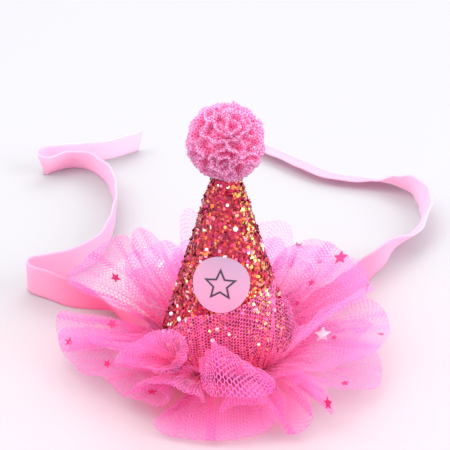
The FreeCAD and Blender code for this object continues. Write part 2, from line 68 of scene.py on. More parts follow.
def mesh_from(name, verts, faces, smooth=True, uv=None, mats=(), mat_index=None):
    me = bpy.data.meshes.new(name)
    me.from_pydata([tuple(v) for v in verts], [], [tuple(f) for f in faces])
    me.update()
    if smooth:
        me.polygons.foreach_set("use_smooth", [True] * len(me.polygons))
    if uv is not None:
        layer = me.uv_layers.new(name="UVMap")
        idx = np.empty(len(me.loops), dtype=np.int32)
        me.loops.foreach_get("vertex_index", idx)
        layer.data.foreach_set("uv", np.asarray(uv, dtype=np.float32)[idx].ravel())
    for m in mats:
        me.materials.append(m)
    if mat_index is not None:
        me.polygons.foreach_set("material_index", list(mat_index))
    return me


class Nodes:
    """A small writer for node trees."""

    def __init__(self, name):
        self.mat = bpy.data.materials.new(name)
        self.mat.use_nodes = True
        self.nt = self.mat.node_tree
        self.nt.nodes.clear()
        self.out = self.nt.nodes.new("ShaderNodeOutputMaterial")

    def n(self, kind, **kw):
        node = self.nt.nodes.new("ShaderNode" + kind)
        for k, v in kw.items():
            setattr(node, k, v)
        return node

    def l(self, a, b):
        self.nt.links.new(a, b)

    def put(self, socket, v):
        if hasattr(v, "is_linked") or hasattr(v, "links"):
            self.l(v, socket)
        else:
            socket.default_value = v

    def math(self, op, a, b=None, c=None, clamp=False):
        m = self.n("Math", operation=op, use_clamp=clamp)
        for i, v in enumerate((a, b, c)):
            if v is not None:
                self.put(m.inputs[i], v)
        return m.outputs[0]

    def vmath(self, op, a, b=None, scale=None):
        m = self.n("VectorMath", operation=op)
        self.put(m.inputs[0], a)
        if b is not None:
            self.put(m.inputs[1], b)
        if scale is not None:
            self.put(m.inputs["Scale"], scale)
        return m.outputs["Value"] if op in ("DOT_PRODUCT", "LENGTH", "DISTANCE") else m.outputs["Vector"]

    def ramp(self, fac, stops):
        r = self.n("ValToRGB")
        self.put(r.inputs[0], fac)
        els = r.color_ramp.elements
        while len(els) < len(stops):
            els.new(0.5)
        for e, (p, c) in zip(els, stops):
            e.position, e.color = p, (*c, 1.0) if len(c) == 3 else c
        return r.outputs[0]

    def mix(self, fac, a, b, blend="MIX"):
        m = self.n("Mix", data_type="RGBA", blend_type=blend)
        self.put(m.inputs[0], fac)
        self.put(m.inputs[6], a if not isinstance(a, tuple) or len(a) == 4 else (*a, 1.0))
        self.put(m.inputs[7], b if not isinstance(b, tuple) or len(b) == 4 else (*b, 1.0))
        return m.outputs[2]

    def noise(self, vec, scale, detail=3.0, rough=0.5, w=None):
        m = self.n("TexNoise")
        if vec is not None:
            self.l(vec, m.inputs["Vector"])
        m.inputs["Scale"].default_value = scale
        m.inputs["Detail"].default_value = detail
        m.inputs["Roughness"].default_value = rough
        return m

    def bump(self, height, strength=0.3, dist=0.001, normal=None):
        b = self.n("Bump")
        b.inputs["Strength"].default_value = strength
        b.inputs["Distance"].default_value = dist
        self.l(height, b.inputs["Height"])
        if normal is not None:
            self.l(normal, b.inputs["Normal"])
        return b.outputs[0]


def hex_edge(N, uv, pitch):
    """Distance from the net's threads, as a share of the pitch: 0 on a thread, 0.5 in the middle of a hole."""
    r = (1.0, math.sqrt(3.0), 1.0)
    h = (0.5, math.sqrt(3.0) / 2, 0.5)
    p = N.vmath("SCALE", uv, scale=1.0 / pitch)
    p = N.vmath("MULTIPLY", p, (1.0, 1.0, 0.0))

    def wrapped(v):
        m = N.n("VectorMath", operation="WRAP")
        N.l(v, m.inputs[0])
        m.inputs[1].default_value = h
        m.inputs[2].default_value = (-h[0], -h[1], -h[2])
        return m.outputs["Vector"]

    a = wrapped(p)
    b = wrapped(N.vmath("ADD", p, (0.5, math.sqrt(3.0) / 2, 0.0)))
    la, lb = N.vmath("DOT_PRODUCT", a, a), N.vmath("DOT_PRODUCT", b, b)
    pick = N.math("LESS_THAN", lb, la)
    m = N.n("Mix", data_type="VECTOR")
    N.l(pick, m.inputs[0]); N.l(a, m.inputs[4]); N.l(b, m.inputs[5])
    g = N.vmath("ABSOLUTE", m.outputs[1])
    d1 = N.vmath("DOT_PRODUCT", g, (0.5, math.sqrt(3.0) / 2, 0.0))
    sep = N.n("SeparateXYZ"); N.l(g, sep.inputs[0])
    d = N.math("MAXIMUM", d1, sep.outputs[0])
    return N.math("SUBTRACT", 0.5, d)


def tulle_material(name, colour, deep, glow, pitch=0.00158, thread=0.098, haze=0.045):
    """Hexagon net: threads that scatter and let light through, nearly clear holes."""
    N = Nodes(name)
    uvn = N.n("UVMap", uv_map="UVMap")
    # a little wander so that the net isn't ruled
    wander = N.noise(uvn.outputs[0], 60.0, 2.0)
    off = N.vmath("SCALE", N.vmath("SUBTRACT", wander.outputs["Color"], (0.5, 0.5, 0.5)), scale=0.0012)
    uv = N.vmath("ADD", uvn.outputs[0], off)
    sepu = N.n("SeparateXYZ"); N.l(uv, sepu.inputs[0])
    turned = N.n("CombineXYZ"); N.l(sepu.outputs[1], turned.inputs[0]); N.l(sepu.outputs[0], turned.inputs[1])
    edge = hex_edge(N, turned.outputs[0], pitch)
    # thread: 1 on the thread, 0 in the hole, with a soft edge
    # gathering packs the threads closer towards the foot
    sepv = N.n("SeparateXYZ"); N.l(uvn.outputs[0], sepv.inputs[0])
    pack = N.n("MapRange", interpolation_type="SMOOTHSTEP", clamp=True)
    N.l(sepv.outputs[1], pack.inputs[0])
    pack.inputs[1].default_value, pack.inputs[2].default_value = 0.010, 0.042
    pack.inputs[3].default_value, pack.inputs[4].default_value = 1.5, 0.86
    # creases run out from the foot: there the net lies double and packs closer, and a deeper colour is painted along
    # them as shade of the folds
    cr = N.noise(N.vmath("MULTIPLY", uvn.outputs[0], (230.0, 11.0, 0.0)), 1.0, 2.0)
    crease = N.n("MapRange", interpolation_type="SMOOTHSTEP", clamp=True)
    N.l(cr.outputs[0], crease.inputs[0])
    crease.inputs[1].default_value, crease.inputs[2].default_value = 0.52, 0.62
    crease.inputs[3].default_value, crease.inputs[4].default_value = 0.0, 1.0
    dn = N.n("UVMap", uv_map="dense")
    sepd = N.n("SeparateXYZ"); N.l(dn.outputs[0], sepd.inputs[0])
    dense = sepd.outputs[0]
    packed = N.math("MULTIPLY", pack.outputs[0], N.math("MULTIPLY_ADD", crease.outputs[0], 0.85, 0.86))
    packed = N.math("MULTIPLY", packed, N.math("MULTIPLY_ADD", dense, 0.36, 0.66))
    ts = N.n("MapRange", interpolation_type="SMOOTHSTEP", clamp=True)
    N.l(N.math("DIVIDE", edge, packed), ts.inputs[0])
    ts.inputs[1].default_value, ts.inputs[2].default_value = thread * 0.6, thread * 1.25
    ts.inputs[3].default_value, ts.inputs[4].default_value = 1.0, 0.0
    mask = ts.outputs[0]
    hz = N.noise(uvn.outputs[0], 900.0, 2.0)
    haze_v = N.math("MULTIPLY", hz.outputs[0], haze * 2.0)
    alpha = N.math("MAXIMUM", mask, haze_v, clamp=True)
    # colour: broad soft variation plus each thread's own
    tone = N.noise(uvn.outputs[0], 26.0, 3.0)
    col = N.mix(tone.outputs[0], colour, deep)
    fine = N.noise(uvn.outputs[0], 2600.0, 1.0)
    col = N.mix(N.math("MULTIPLY", fine.outputs[0], 0.25), col, glow)
    # painted shade: the colour is deepened along the creases
    col = N.mix(N.math("MULTIPLY", crease.outputs[0], 0.80), col, deep)
    # a single open layer looks paler and cooler than the imported net; the lilac lift where the net is packed less,
    # mostly round the right side, is also painted light from the right
    col = N.mix(N.math("MULTIPLY_ADD", dense, -0.50, 0.60, clamp=True), col, (1.0, 0.42, 0.86))
    # the gathered foot of the net is denser and deeper, and its deeper colour is also painted shade down at the foot
    # between the layers
    foot = N.n("MapRange", interpolation_type="SMOOTHSTEP", clamp=True)
    N.l(sepv.outputs[1], foot.inputs[0])
    foot.inputs[1].default_value, foot.inputs[2].default_value = 0.008, 0.034
    foot.inputs[3].default_value, foot.inputs[4].default_value = 0.85, 0.0
    col = N.mix(N.math("MULTIPLY", foot.outputs[0], N.math("MULTIPLY_ADD", dense, 0.55, 0.50), clamp=True), col, (1.0, 0.035, 0.22))
    bump = N.bump(mask, 0.35, 0.00012)
    pr = N.n("BsdfPrincipled")
    N.l(col, pr.inputs["Base Color"])
    pr.inputs["Roughness"].default_value = 0.62
    pr.inputs["Specular IOR Level"].default_value = 0.25
    pr.inputs["Sheen Weight"].default_value = 0.85
    pr.inputs["Sheen Roughness"].default_value = 0.35
    pr.inputs["Sheen Tint"].default_value = (1.0, 0.78, 0.98, 1.0)
    N.l(bump, pr.inputs["Normal"])
    tr = N.n("BsdfTranslucent")
    N.l(N.mix(0.35, col, glow), tr.inputs[0])
    both = N.n("MixShader"); both.inputs[0].default_value = 0.46
    N.l(pr.outputs[0], both.inputs[1]); N.l(tr.outputs[0], both.inputs[2])
    clear = N.n("BsdfTransparent")
    see = N.n("MixShader")
    N.l(alpha, see.inputs[0]); N.l(clear.outputs[0], see.inputs[1]); N.l(both.outputs[0], see.inputs[2])
    N.l(see.outputs[0], N.out.inputs[0])
    return N.mat


# ------------------------------------------------------------------ ties: routes as in the part's source, in metres
Z = 0.0082
LEFT = [(-0.0286, 0.0129, 0.0030), (-0.0495, 0.0265, 0.0075), (-0.0752, 0.0357, Z), (-0.0868, 0.0436, Z), (-0.0976, 0.0496, Z),
        (-0.0976, 0.0570, Z), (-0.0886, 0.0594, Z), (-0.0775, 0.0639, Z), (-0.0647, 0.0778, Z), (-0.0615, 0.0952, Z),
        (-0.0600, 0.1182, Z), (-0.0613, 0.1365, Z), (-0.0658, 0.1575, Z), (-0.0746, 0.1750, Z), (-0.0840, 0.1845, Z),
        (-0.0935, 0.1860, Z), (-0.1010, 0.1810, Z), (-0.1050, 0.1760, Z), (-0.1100, 0.1786, Z), (-0.1090, 0.1848, Z),
        (-0.1015, 0.1900, Z), (-0.0880, 0.1935, Z), (-0.0740, 0.1965, Z), (-0.0620, 0.2030, Z), (-0.0528, 0.2122, Z)]
RIGHT = [(0.0326, 0.0107, 0.0030), (0.0470, 0.0286, 0.0075), (0.0663, 0.0530, Z), (0.0813, 0.0734, Z), (0.0935, 0.0915, Z),
         (0.1030, 0.1042, Z), (0.1090, 0.1180, Z), (0.1105, 0.1310, Z), (0.1068, 0.1485, Z), (0.0985, 0.1595, Z),
         (0.0865, 0.1656, Z), (0.0700, 0.1686, Z), (0.0558, 0.1752, Z), (0.0446, 0.1880, Z), (0.0330, 0.2000, Z),
         (0.0225, 0.2120, Z), (0.0105, 0.2205, Z), (-0.0030, 0.2240, Z), (-0.0135, 0.2195, Z), (-0.0170, 0.2095, Z),
         (-0.0105, 0.2010, Z), (0.0010, 0.1990, Z)]


def spline_points(route):
    cu = bpy.data.curves.new("route", "CURVE")
    cu.dimensions = "3D"
    sp = cu.splines.new("NURBS")
    sp.points.add(len(route) - 1)
    for p, c in zip(sp.points, route):
        p.co = (*c, 1.0)
    sp.order_u = 3
    sp.use_endpoint_u = True
    sp.resolution_u = 12
    ob = bpy.data.objects.new("route", cu)
    scene.collection.objects.link(ob)
    me = bpy.data.meshes.new_from_object(ob)
    pts = [v.co.copy() for v in me.vertices]
    bpy.data.objects.remove(ob)
    bpy.data.meshes.remove(me)
    return pts


def tie_material():
    N = Nodes("tie_elastic")
    uvn = N.n("UVMap", uv_map="UVMap")
    sep = N.n("SeparateXYZ"); N.l(uvn.outputs[0], sep.inputs[0])
    u, v = sep.outputs[0], sep.outputs[1]
    ribs = N.math("SINE", N.math("MULTIPLY", v, 2 * math.pi / 0.00075))
    knit = N.math("SINE", N.math("MULTIPLY", u, 2 * math.pi / 0.0006))
    weave = N.math("MULTIPLY", ribs, N.math("MULTIPLY_ADD", knit, 0.3, 0.7))
    fuzz = N.noise(uvn.outputs[0], 2200.0, 3.0)
    broad = N.noise(uvn.outputs[0], 45.0, 3.0)
    h = N.math("MULTIPLY_ADD", fuzz.outputs[0], 0.5, weave)
    col = N.mix(broad.outputs[0], (0.98, 0.63, 0.78), (0.97, 0.52, 0.70))
    tie_painted_light = N.n("UVMap", uv_map="tie_painted_light")
    sepf = N.n("SeparateXYZ"); N.l(tie_painted_light.outputs[0], sepf.inputs[0])
    # painted highlight: the tie's pink is lifted towards a pale pink along its length where it faces the light
    col = N.mix(sepf.outputs[0], col, (0.99, 0.82, 0.91))
    # painted shade: a deeper pink near the tie's start and where it lies flat, set against the full light there
    col = N.mix(sepf.outputs[1], col, (0.93, 0.20, 0.42))
    col = N.mix(N.math("MULTIPLY_ADD", weave, 0.12, 0.12), col, (1.0, 0.72, 0.90))
    pr = N.n("BsdfPrincipled")
    N.l(col, pr.inputs["Base Color"])
    rough = N.math("MULTIPLY_ADD", fuzz.outputs[0], 0.25, 0.42)
    N.l(rough, pr.inputs["Roughness"])
    pr.inputs["Sheen Weight"].default_value = 0.35
    pr.inputs["Sheen Roughness"].default_value = 0.4
    pr.inputs["Sheen Tint"].default_value = (1.0, 0.80, 0.95, 1.0)
    pr.inputs["Specular IOR Level"].default_value = 0.2
    N.l(N.bump(h, 0.35, 0.00010), pr.inputs["Normal"])
    tr = N.n("BsdfTranslucent"); N.l(col, tr.inputs[0])
    mx = N.n("MixShader"); mx.inputs[0].default_value = 0.52
    N.l(pr.outputs[0], mx.inputs[1]); N.l(tr.outputs[0], mx.inputs[2])
    N.l(mx.outputs[0], N.out.inputs[0])
    return N.mat


TIE_MAT = tie_material()


def ribbon(name, route, lean, twist, painted_highlight, painted_shade, tab=0.021, half=0.008, thick=0.0010):
    pts = spline_points(route)
    d = (pts[1] - pts[0]); d.z = 0; d.normalize()
    # tab between the felts, then the free length
    tabs = [Vector((pts[0].x, pts[0].y, 0.0020)) - d * tab * (1 - i / 6) for i in range(6)]
    line = tabs + pts
    cum = [0.0]
    for a, b in zip(line, line[1:]):
        cum.append(cum[-1] + (b - a).length)
    free0 = cum[6]
    rows, uvs = [], []
    nprof = 15
    for i, p in enumerate(line):
        a, b = line[max(i - 1, 0)], line[min(i + 1, len(line) - 1)]
        t = (b - a); t.z = 0; t.normalize()
        n = Vector((-t.y, t.x, 0))
        s = cum[i] - free0
        f = min(max(s / twist, 0.0), 1.0)
        f = f * f * (3 - 2 * f)
        ang = math.radians(90.0) * f
        ln = lean(max(s, 0.0)) * f
        ang = ang + math.radians(ln)
        across = n * math.cos(ang) + Vector((0, 0, 1)) * math.sin(ang)
        face = n * (-math.sin(ang)) + Vector((0, 0, 1)) * math.cos(ang)
        # the lower edge stays just above the table
        low = 0.0004 + half * abs(across.z)
        flat_z = 0.0020
        c = Vector((p.x, p.y, max(low, flat_z * (1 - f) + low * f)))
        ripple = 0.00025 * math.sin(s * 310.0) * f
        ring = []
        for k in range(nprof):
            w = -1 + 2 * k / (nprof - 1)
            # two soft lips and a shallow groove down the middle
            body = 0.42 + 0.10 * math.exp(-((abs(w) - 0.93) / 0.08) ** 2) - 0.12 * math.exp(-(w / 0.07) ** 2)
            ring.append((w, body))
        top = [c + across * (half * w) + face * (thick * b_ + ripple * (w + 1) / 2) for w, b_ in ring]
        bot = [c + across * (half * w) - face * (thick * b_ - ripple * (w + 1) / 2) for w, b_ in reversed(ring)]
        rows.append(top + bot)
        vv = [half * w for w, _ in ring] + [half * w for w, _ in reversed(ring)]
        uvs += [(cum[i], x) for x in vv]
    m = len(rows[0])
    verts = [v for r in rows for v in r]
    faces = []
    for i in range(len(rows) - 1):
        for k in range(m):
            a, b = i * m + k, i * m + (k + 1) % m
            faces.append((a, b, b + m, a + m))
    faces.append(tuple(reversed(range(m))))
    faces.append(tuple((len(rows) - 1) * m + k for k in range(m)))
    me = mesh_from(name, verts, faces, True, uvs, [TIE_MAT])
    # this layer carries the tie's painted highlight and painted shade along its length
    lay = me.uv_layers.new(name="tie_painted_light")
    idx = np.empty(len(me.loops), dtype=np.int32)
    me.loops.foreach_get("vertex_index", idx)
    # per ring: the painted highlight share, and the painted shade share, which is full over the first 36 mm and gone by
    # 81 mm
    val = np.repeat(np.array([[painted_highlight(max(c_ - free0, 0.0)), max(min(max(1 - (c_ - free0 - 0.036) / 0.045, 0.0), 1.0), painted_shade(max(c_ - free0, 0.0)))] for c_ in cum], dtype=np.float32), m, axis=0)
    lay.data.foreach_set("uv", val[idx].ravel())
    ob = link(name, me)
    centre = [tuple((r[nprof // 2] + r[m - 1 - nprof // 2]) / 2) for r in rows]
    length = sum((Vector(b) - Vector(a)).length for a, b in zip(centre, centre[1:]))
    return ob, centre, length


def bump_lean(pairs):
    """Lean in degrees along the tie: a smooth curve through (distance, degrees)."""
    def f(s):
        for (s0, a0), (s1, a1) in zip(pairs, pairs[1:]):
            if s0 <= s <= s1:
                k = (s - s0) / (s1 - s0)
                k = k * k * (3 - 2 * k)
                return a0 + (a1 - a0) * k
        return pairs[-1][1] if s > pairs[-1][0] else pairs[0][1]
    return f


LEAN_L = [(0, 0), (0.06, 0), (0.10, 4), (0.14, 5), (0.17, 5), (0.20, 2), (0.222, -14), (0.243, -28), (0.258, -28), (0.280, 16), (0.31, 20), (0.34, 18)]
LEAN_R = [(0, 0), (0.055, 0), (0.080, 8), (0.101, 46), (0.108, 46), (0.125, 22), (0.145, 12), (0.158, -6), (0.172, -40), (0.188, -66), (0.205, -72), (0.24, -70), (0.36, -68)]
# painted highlight: how much paler each tie is painted along its length, where it faces the light
PAINTED_HIGHLIGHT_L = [(0, 0), (0.13, 0.15), (0.17, 0.35), (0.23, 0.20), (0.27, 0.5), (0.29, 0.80), (0.36, 0.85)]
PAINTED_HIGHLIGHT_R = [(0, 0), (0.08, 0.05), (0.115, 0.55), (0.15, 0.50), (0.18, 0.45), (0.25, 0.60), (0.36, 0.60)]
# painted shade: a deeper pink is painted near each tie's start and where the right tie lies flat and takes the full
# light
PAINTED_SHADE_L = [(0, 0), (0.40, 0)]
PAINTED_SHADE_R = [(0, 0), (0.150, 0), (0.182, 0.12), (0.36, 0.12)]
tie_l, path_l, len_l = ribbon("tie_left_ribbon", LEFT, bump_lean(LEAN_L), 0.058, bump_lean(PAINTED_HIGHLIGHT_L), bump_lean(PAINTED_SHADE_L))
tie_r, path_r, len_r = ribbon("tie_right_ribbon", RIGHT, bump_lean(LEAN_R), 0.030, bump_lean(PAINTED_HIGHLIGHT_R), bump_lean(PAINTED_SHADE_R))
for ob, node, path, length in ((tie_l, "tie_left", path_l, len_l), (tie_r, "tie_right", path_r, len_r)):
    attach(ob, ROOT)
    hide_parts(node)
print("ties", round(len_l, 4), round(len_r, 4))


# ------------------------------------------------------------------ ruffles
# outer edge of each gathered strip: (bearing in degrees, radius mm, height mm, lift of the middle)
UPPER = [(-127, 38, 33, 0), (-118, 36, 39, 0), (-104, 36, 43, 0), (-88, 36, 45, 0), (-72, 35.5, 50, 0), (-61, 35, 53, 0), (-54, 34.5, 56, 0),
         (-57, 36.5, 54, 0), (-60, 37.5, 50, 0), (-55, 38.5, 49, 0), (-50, 39.5, 47, 0), (-48, 41, 41, 0), (-44, 42, 34, 0), (-38, 45, 35.5, 0), (-34, 47.5, 39.5, .02), (-26, 53, 42, .04), (-17, 58, 43, .05), (-8, 62, 40, .05),
         (0, 65, 34, .05), (9, 64.5, 31.5, .05), (16, 63.5, 31.5, .05), (24, 61.5, 34.5, .05), (29, 61, 36, .05), (33, 58.5, 38, .05), (38, 56.5, 38, .05), (45, 56.5, 36.5, .03),
         (51, 57, 31.5, 0), (48, 49, 30, 0), (55, 56, 31, 0), (58, 58, 37, 0), (64, 60, 38, 0), (73, 60, 35, 0), (83, 58, 33, 0), (80, 51, 26, 0), (90, 56, 28, 0), (97, 60, 34, 0), (103, 60, 39, 0),
         (108, 60, 43, 0), (112, 58, 40, 0), (116, 50, 26, 0), (120, 50, 19, 0), (123, 55, 27, 0), (128, 57, 36.5, 0), (133, 57, 41, .02), (138, 57, 42, .02), (145, 53, 37, 0), (144, 58, 41.5, .03),
         (150, 60, 42, .05), (154, 63, 40, .06), (158, 66, 37.5, .07), (161, 70, 33.5, .08), (164, 73, 31, .10), (168, 73.5, 30, .12), (171, 71, 29, .12), (170, 62, 23.2, .10), (168, 52, 17, .06), (166, 42, 13.8, 0), (168, 36, 14, 0), (184, 36, 13, 0), (190, 46, 15, 0), (190, 58, 18, 0), (196, 62, 20, .02), (204, 60, 22, .02),
         (211, 54, 23, .02), (216, 46, 25, .02), (224, 39, 29, .02)]
MIDDLE = [(-186, 64, 15, 0), (-184, 73, 19, 0), (-180, 75, 20, 0), (-175, 75, 17, 0), (-171, 74, 15, 0), (-168, 73, 13, 0), (-167, 71, 12.5, 0), (-169, 69.5, 14, 0), (-171, 66, 14.5, 0), (-172, 58, 12, 0), (-160, 50, 13, 0),
          (-143, 57, 21, 0), (-136, 60, 25, 0), (-126, 59, 27.5, 0), (-118, 57, 27.5, 0), (-113, 54, 26.5, .06), (-109, 50.5, 30, .14), (-112.5, 47, 35.5, .14), (-119, 46, 39, .10), (-125, 49, 38, .06), (-130, 53, 34.5, .06), (-134, 57, 31, .06), (-137, 61, 26, .04),
          (-142.5, 58, 18, 0), (-144, 48, 10, 0), (-128, 42, 12, 0), (-114, 40, 18.5, 0), (-103, 45, 21, .30), (-99.5, 54, 19.5, .60), (-96, 59, 20, .78), (-93, 61, 21.5, .78), (-88, 62, 22, .72), (-83, 62.5, 22, .62), (-78, 62.5, 21.5, .48),
          (-73.5, 62, 22, .34), (-71, 60, 24.5, .22), (-70, 56, 24, .12), (-67, 49, 19, .04),
          (-60, 52, 22, .02), (-54, 56, 23, .06), (-47, 59, 22.5, .10), (-38, 62.5, 22, .12), (-28, 66.5, 20, .12), (-16, 70, 18, .10), (-5, 72.5, 16, .08), (3, 73, 15, .06), (9, 71.5, 17, .04), (12, 66, 20, 0), (10, 55, 20, 0)]
LOWER = [(-186, 66, 9, 0), (-180, 73.5, 12, 0), (-175, 74.5, 12, 0), (-169, 73, 9.5, 0), (-163, 70, 9.5, 0), (-156, 68, 10, 0), (-150, 65.5, 11.5, 0), (-144, 62.5, 13, 0), (-140, 61, 11, 0), (-137, 60.5, 8.5, 0), (-130.5, 60.5, 9.5, 0), (-123, 59.5, 11, 0), (-117, 59, 12, 0),
         (-114, 57, 13.5, 0), (-120.5, 54, 13, 0), (-127, 58, 14, 0), (-131, 61.5, 12.5, 0), (-128, 61, 17, .03), (-119.5, 59, 22, .06), (-112, 59, 23.3, .06), (-105, 60, 23, .05), (-100, 60, 21, .03), (-101, 50, 9, 0), (-112, 50, 4, 0), (-117, 59, 5.5, 0),
         (-117, 65, 5.5, .02), (-113, 66, 3.5, .06), (-108, 66, 3, .10), (-99, 66, 3.5, .12), (-89, 66, 4, .12), (-80, 66, 6, .10), (-75, 66, 8.5, .08), (-72, 65.5, 12, .05), (-73, 64, 15, .05), (-78, 61, 17, .05), (-86, 60, 15.5, .04), (-92, 60, 13.5, .03), (-87, 50, 10, 0),
         (-72, 46, 9, 0), (-66, 50, 14.5, 0), (-67, 60, 16.4, .05), (-67.5, 64, 12, .08), (-69.5, 67, 8, .08), (-69, 68, 5.5, .10), (-65.5, 69, 5, .10), (-62, 69, 6, .10), (-59, 68, 8.5, .08), (-60, 67, 12, .06), (-61, 63, 17, .05), (-61, 59, 19, .05), (-58, 57, 20, .05),
         (-54, 58, 21, .05), (-55, 64, 22, .05), (-55.5, 69, 17, .05), (-54.5, 73.5, 12, .05), (-54.5, 72, 16, .04), (-54.5, 67, 19, .03), (-51, 64.5, 18, .03), (-44, 66, 15, .03), (-36, 69.5, 11, .03), (-30, 73.5, 8, .03), (-24, 72.5, 8, .02), (-16, 70, 8, 0), (-8, 66, 9, 0)]


def back_folds(a, b, n, r, z, seed, dip=0.72):
    """Folds for the part of a strip that goes round the back, from bearing a to b."""
    rnd = random.Random(seed)
    out, step = [], (b - a) / n
    for i in range(n):
        t0 = a + step * i
        rr, zz = r * rnd.uniform(0.93, 1.03), z * rnd.uniform(0.85, 1.2)
        out += [(t0, rr * dip, zz * 0.55, 0), (t0 - step * rnd.uniform(.05, .2), rr * 0.9, zz * 0.7, .02), (t0 + step * 0.12, rr * 0.99, zz, .05), (t0 + step * 0.45, rr * 1.01, zz * rnd.uniform(0.8, 1.05), .06),
                (t0 + step * 0.82, rr, zz * 0.95, .05), (t0 + step * rnd.uniform(1.0, 1.12), rr * 0.92, zz * 0.7, .02)]
    return out


MIDDLE += back_folds(18, 136, 5, 71, 24, 5) + [(141, 52, 15, 0), (145, 38, 8.5, 0), (158, 36, 7.5, 0), (168, 37, 7.5, 0), (172, 50, 10, 0)]
LOWER += [(2, 60, 5, 0), (8, 68, 9, .02), (13, 66, 7, 0), (18, 50, 5, 0), (24, 37, 5, 0), (36, 37, 5, 0), (44, 50, 5, 0)] + back_folds(50, 138, 4, 72, 13, 9, 0.66) + [(142, 50, 5, 0), (146, 37, 5, 0), (160, 37, 5, 0), (168, 50, 5, 0)]


def catmull(P, per):
    """Closed centripetal curve through the rows of P."""
    P = np.asarray(P, float)
    n = len(P)
    out = []
    for i in range(n):
        p0, p1, p2, p3 = P[i - 1], P[i], P[(i + 1) % n], P[(i + 2) % n]
        d = [max(np.linalg.norm((b - a)[:3]), 1e-6) ** 0.5 for a, b in ((p0, p1), (p1, p2), (p2, p3))]
        t0, t1 = 0.0, d[0]
        t2, t3 = t1 + d[1], t1 + d[1] + d[2]
        for k in range(per):
            t = t1 + (t2 - t1) * k / per
            A1 = (t1 - t) / (t1 - t0) * p0 + (t - t0) / (t1 - t0) * p1
            A2 = (t2 - t) / (t2 - t1) * p1 + (t - t1) / (t2 - t1) * p2
            A3 = (t3 - t) / (t3 - t2) * p2 + (t - t2) / (t3 - t2) * p3
            B1 = (t2 - t) / (t2 - t0) * A1 + (t - t0) / (t2 - t0) * A2
            B2 = (t3 - t) / (t3 - t1) * A2 + (t - t1) / (t3 - t1) * A3
            out.append((t2 - t) / (t2 - t1) * B1 + (t - t1) / (t2 - t1) * B2)
    return np.array(out)


def ring_noise(n, L, wave, rng):
    """Smooth periodic noise along a closed strip, about one unit high."""
    k0 = L / wave
    s = np.arange(n) / n * 2 * np.pi
    v = np.zeros(n)
    for _ in range(14):
        k = max(1, int(round(k0 * rng.uniform(0.6, 1.5))))
        v += rng.normal() * np.sin(k * s + rng.uniform(0, 2 * np.pi))
    return v / (np.std(v) + 1e-9)


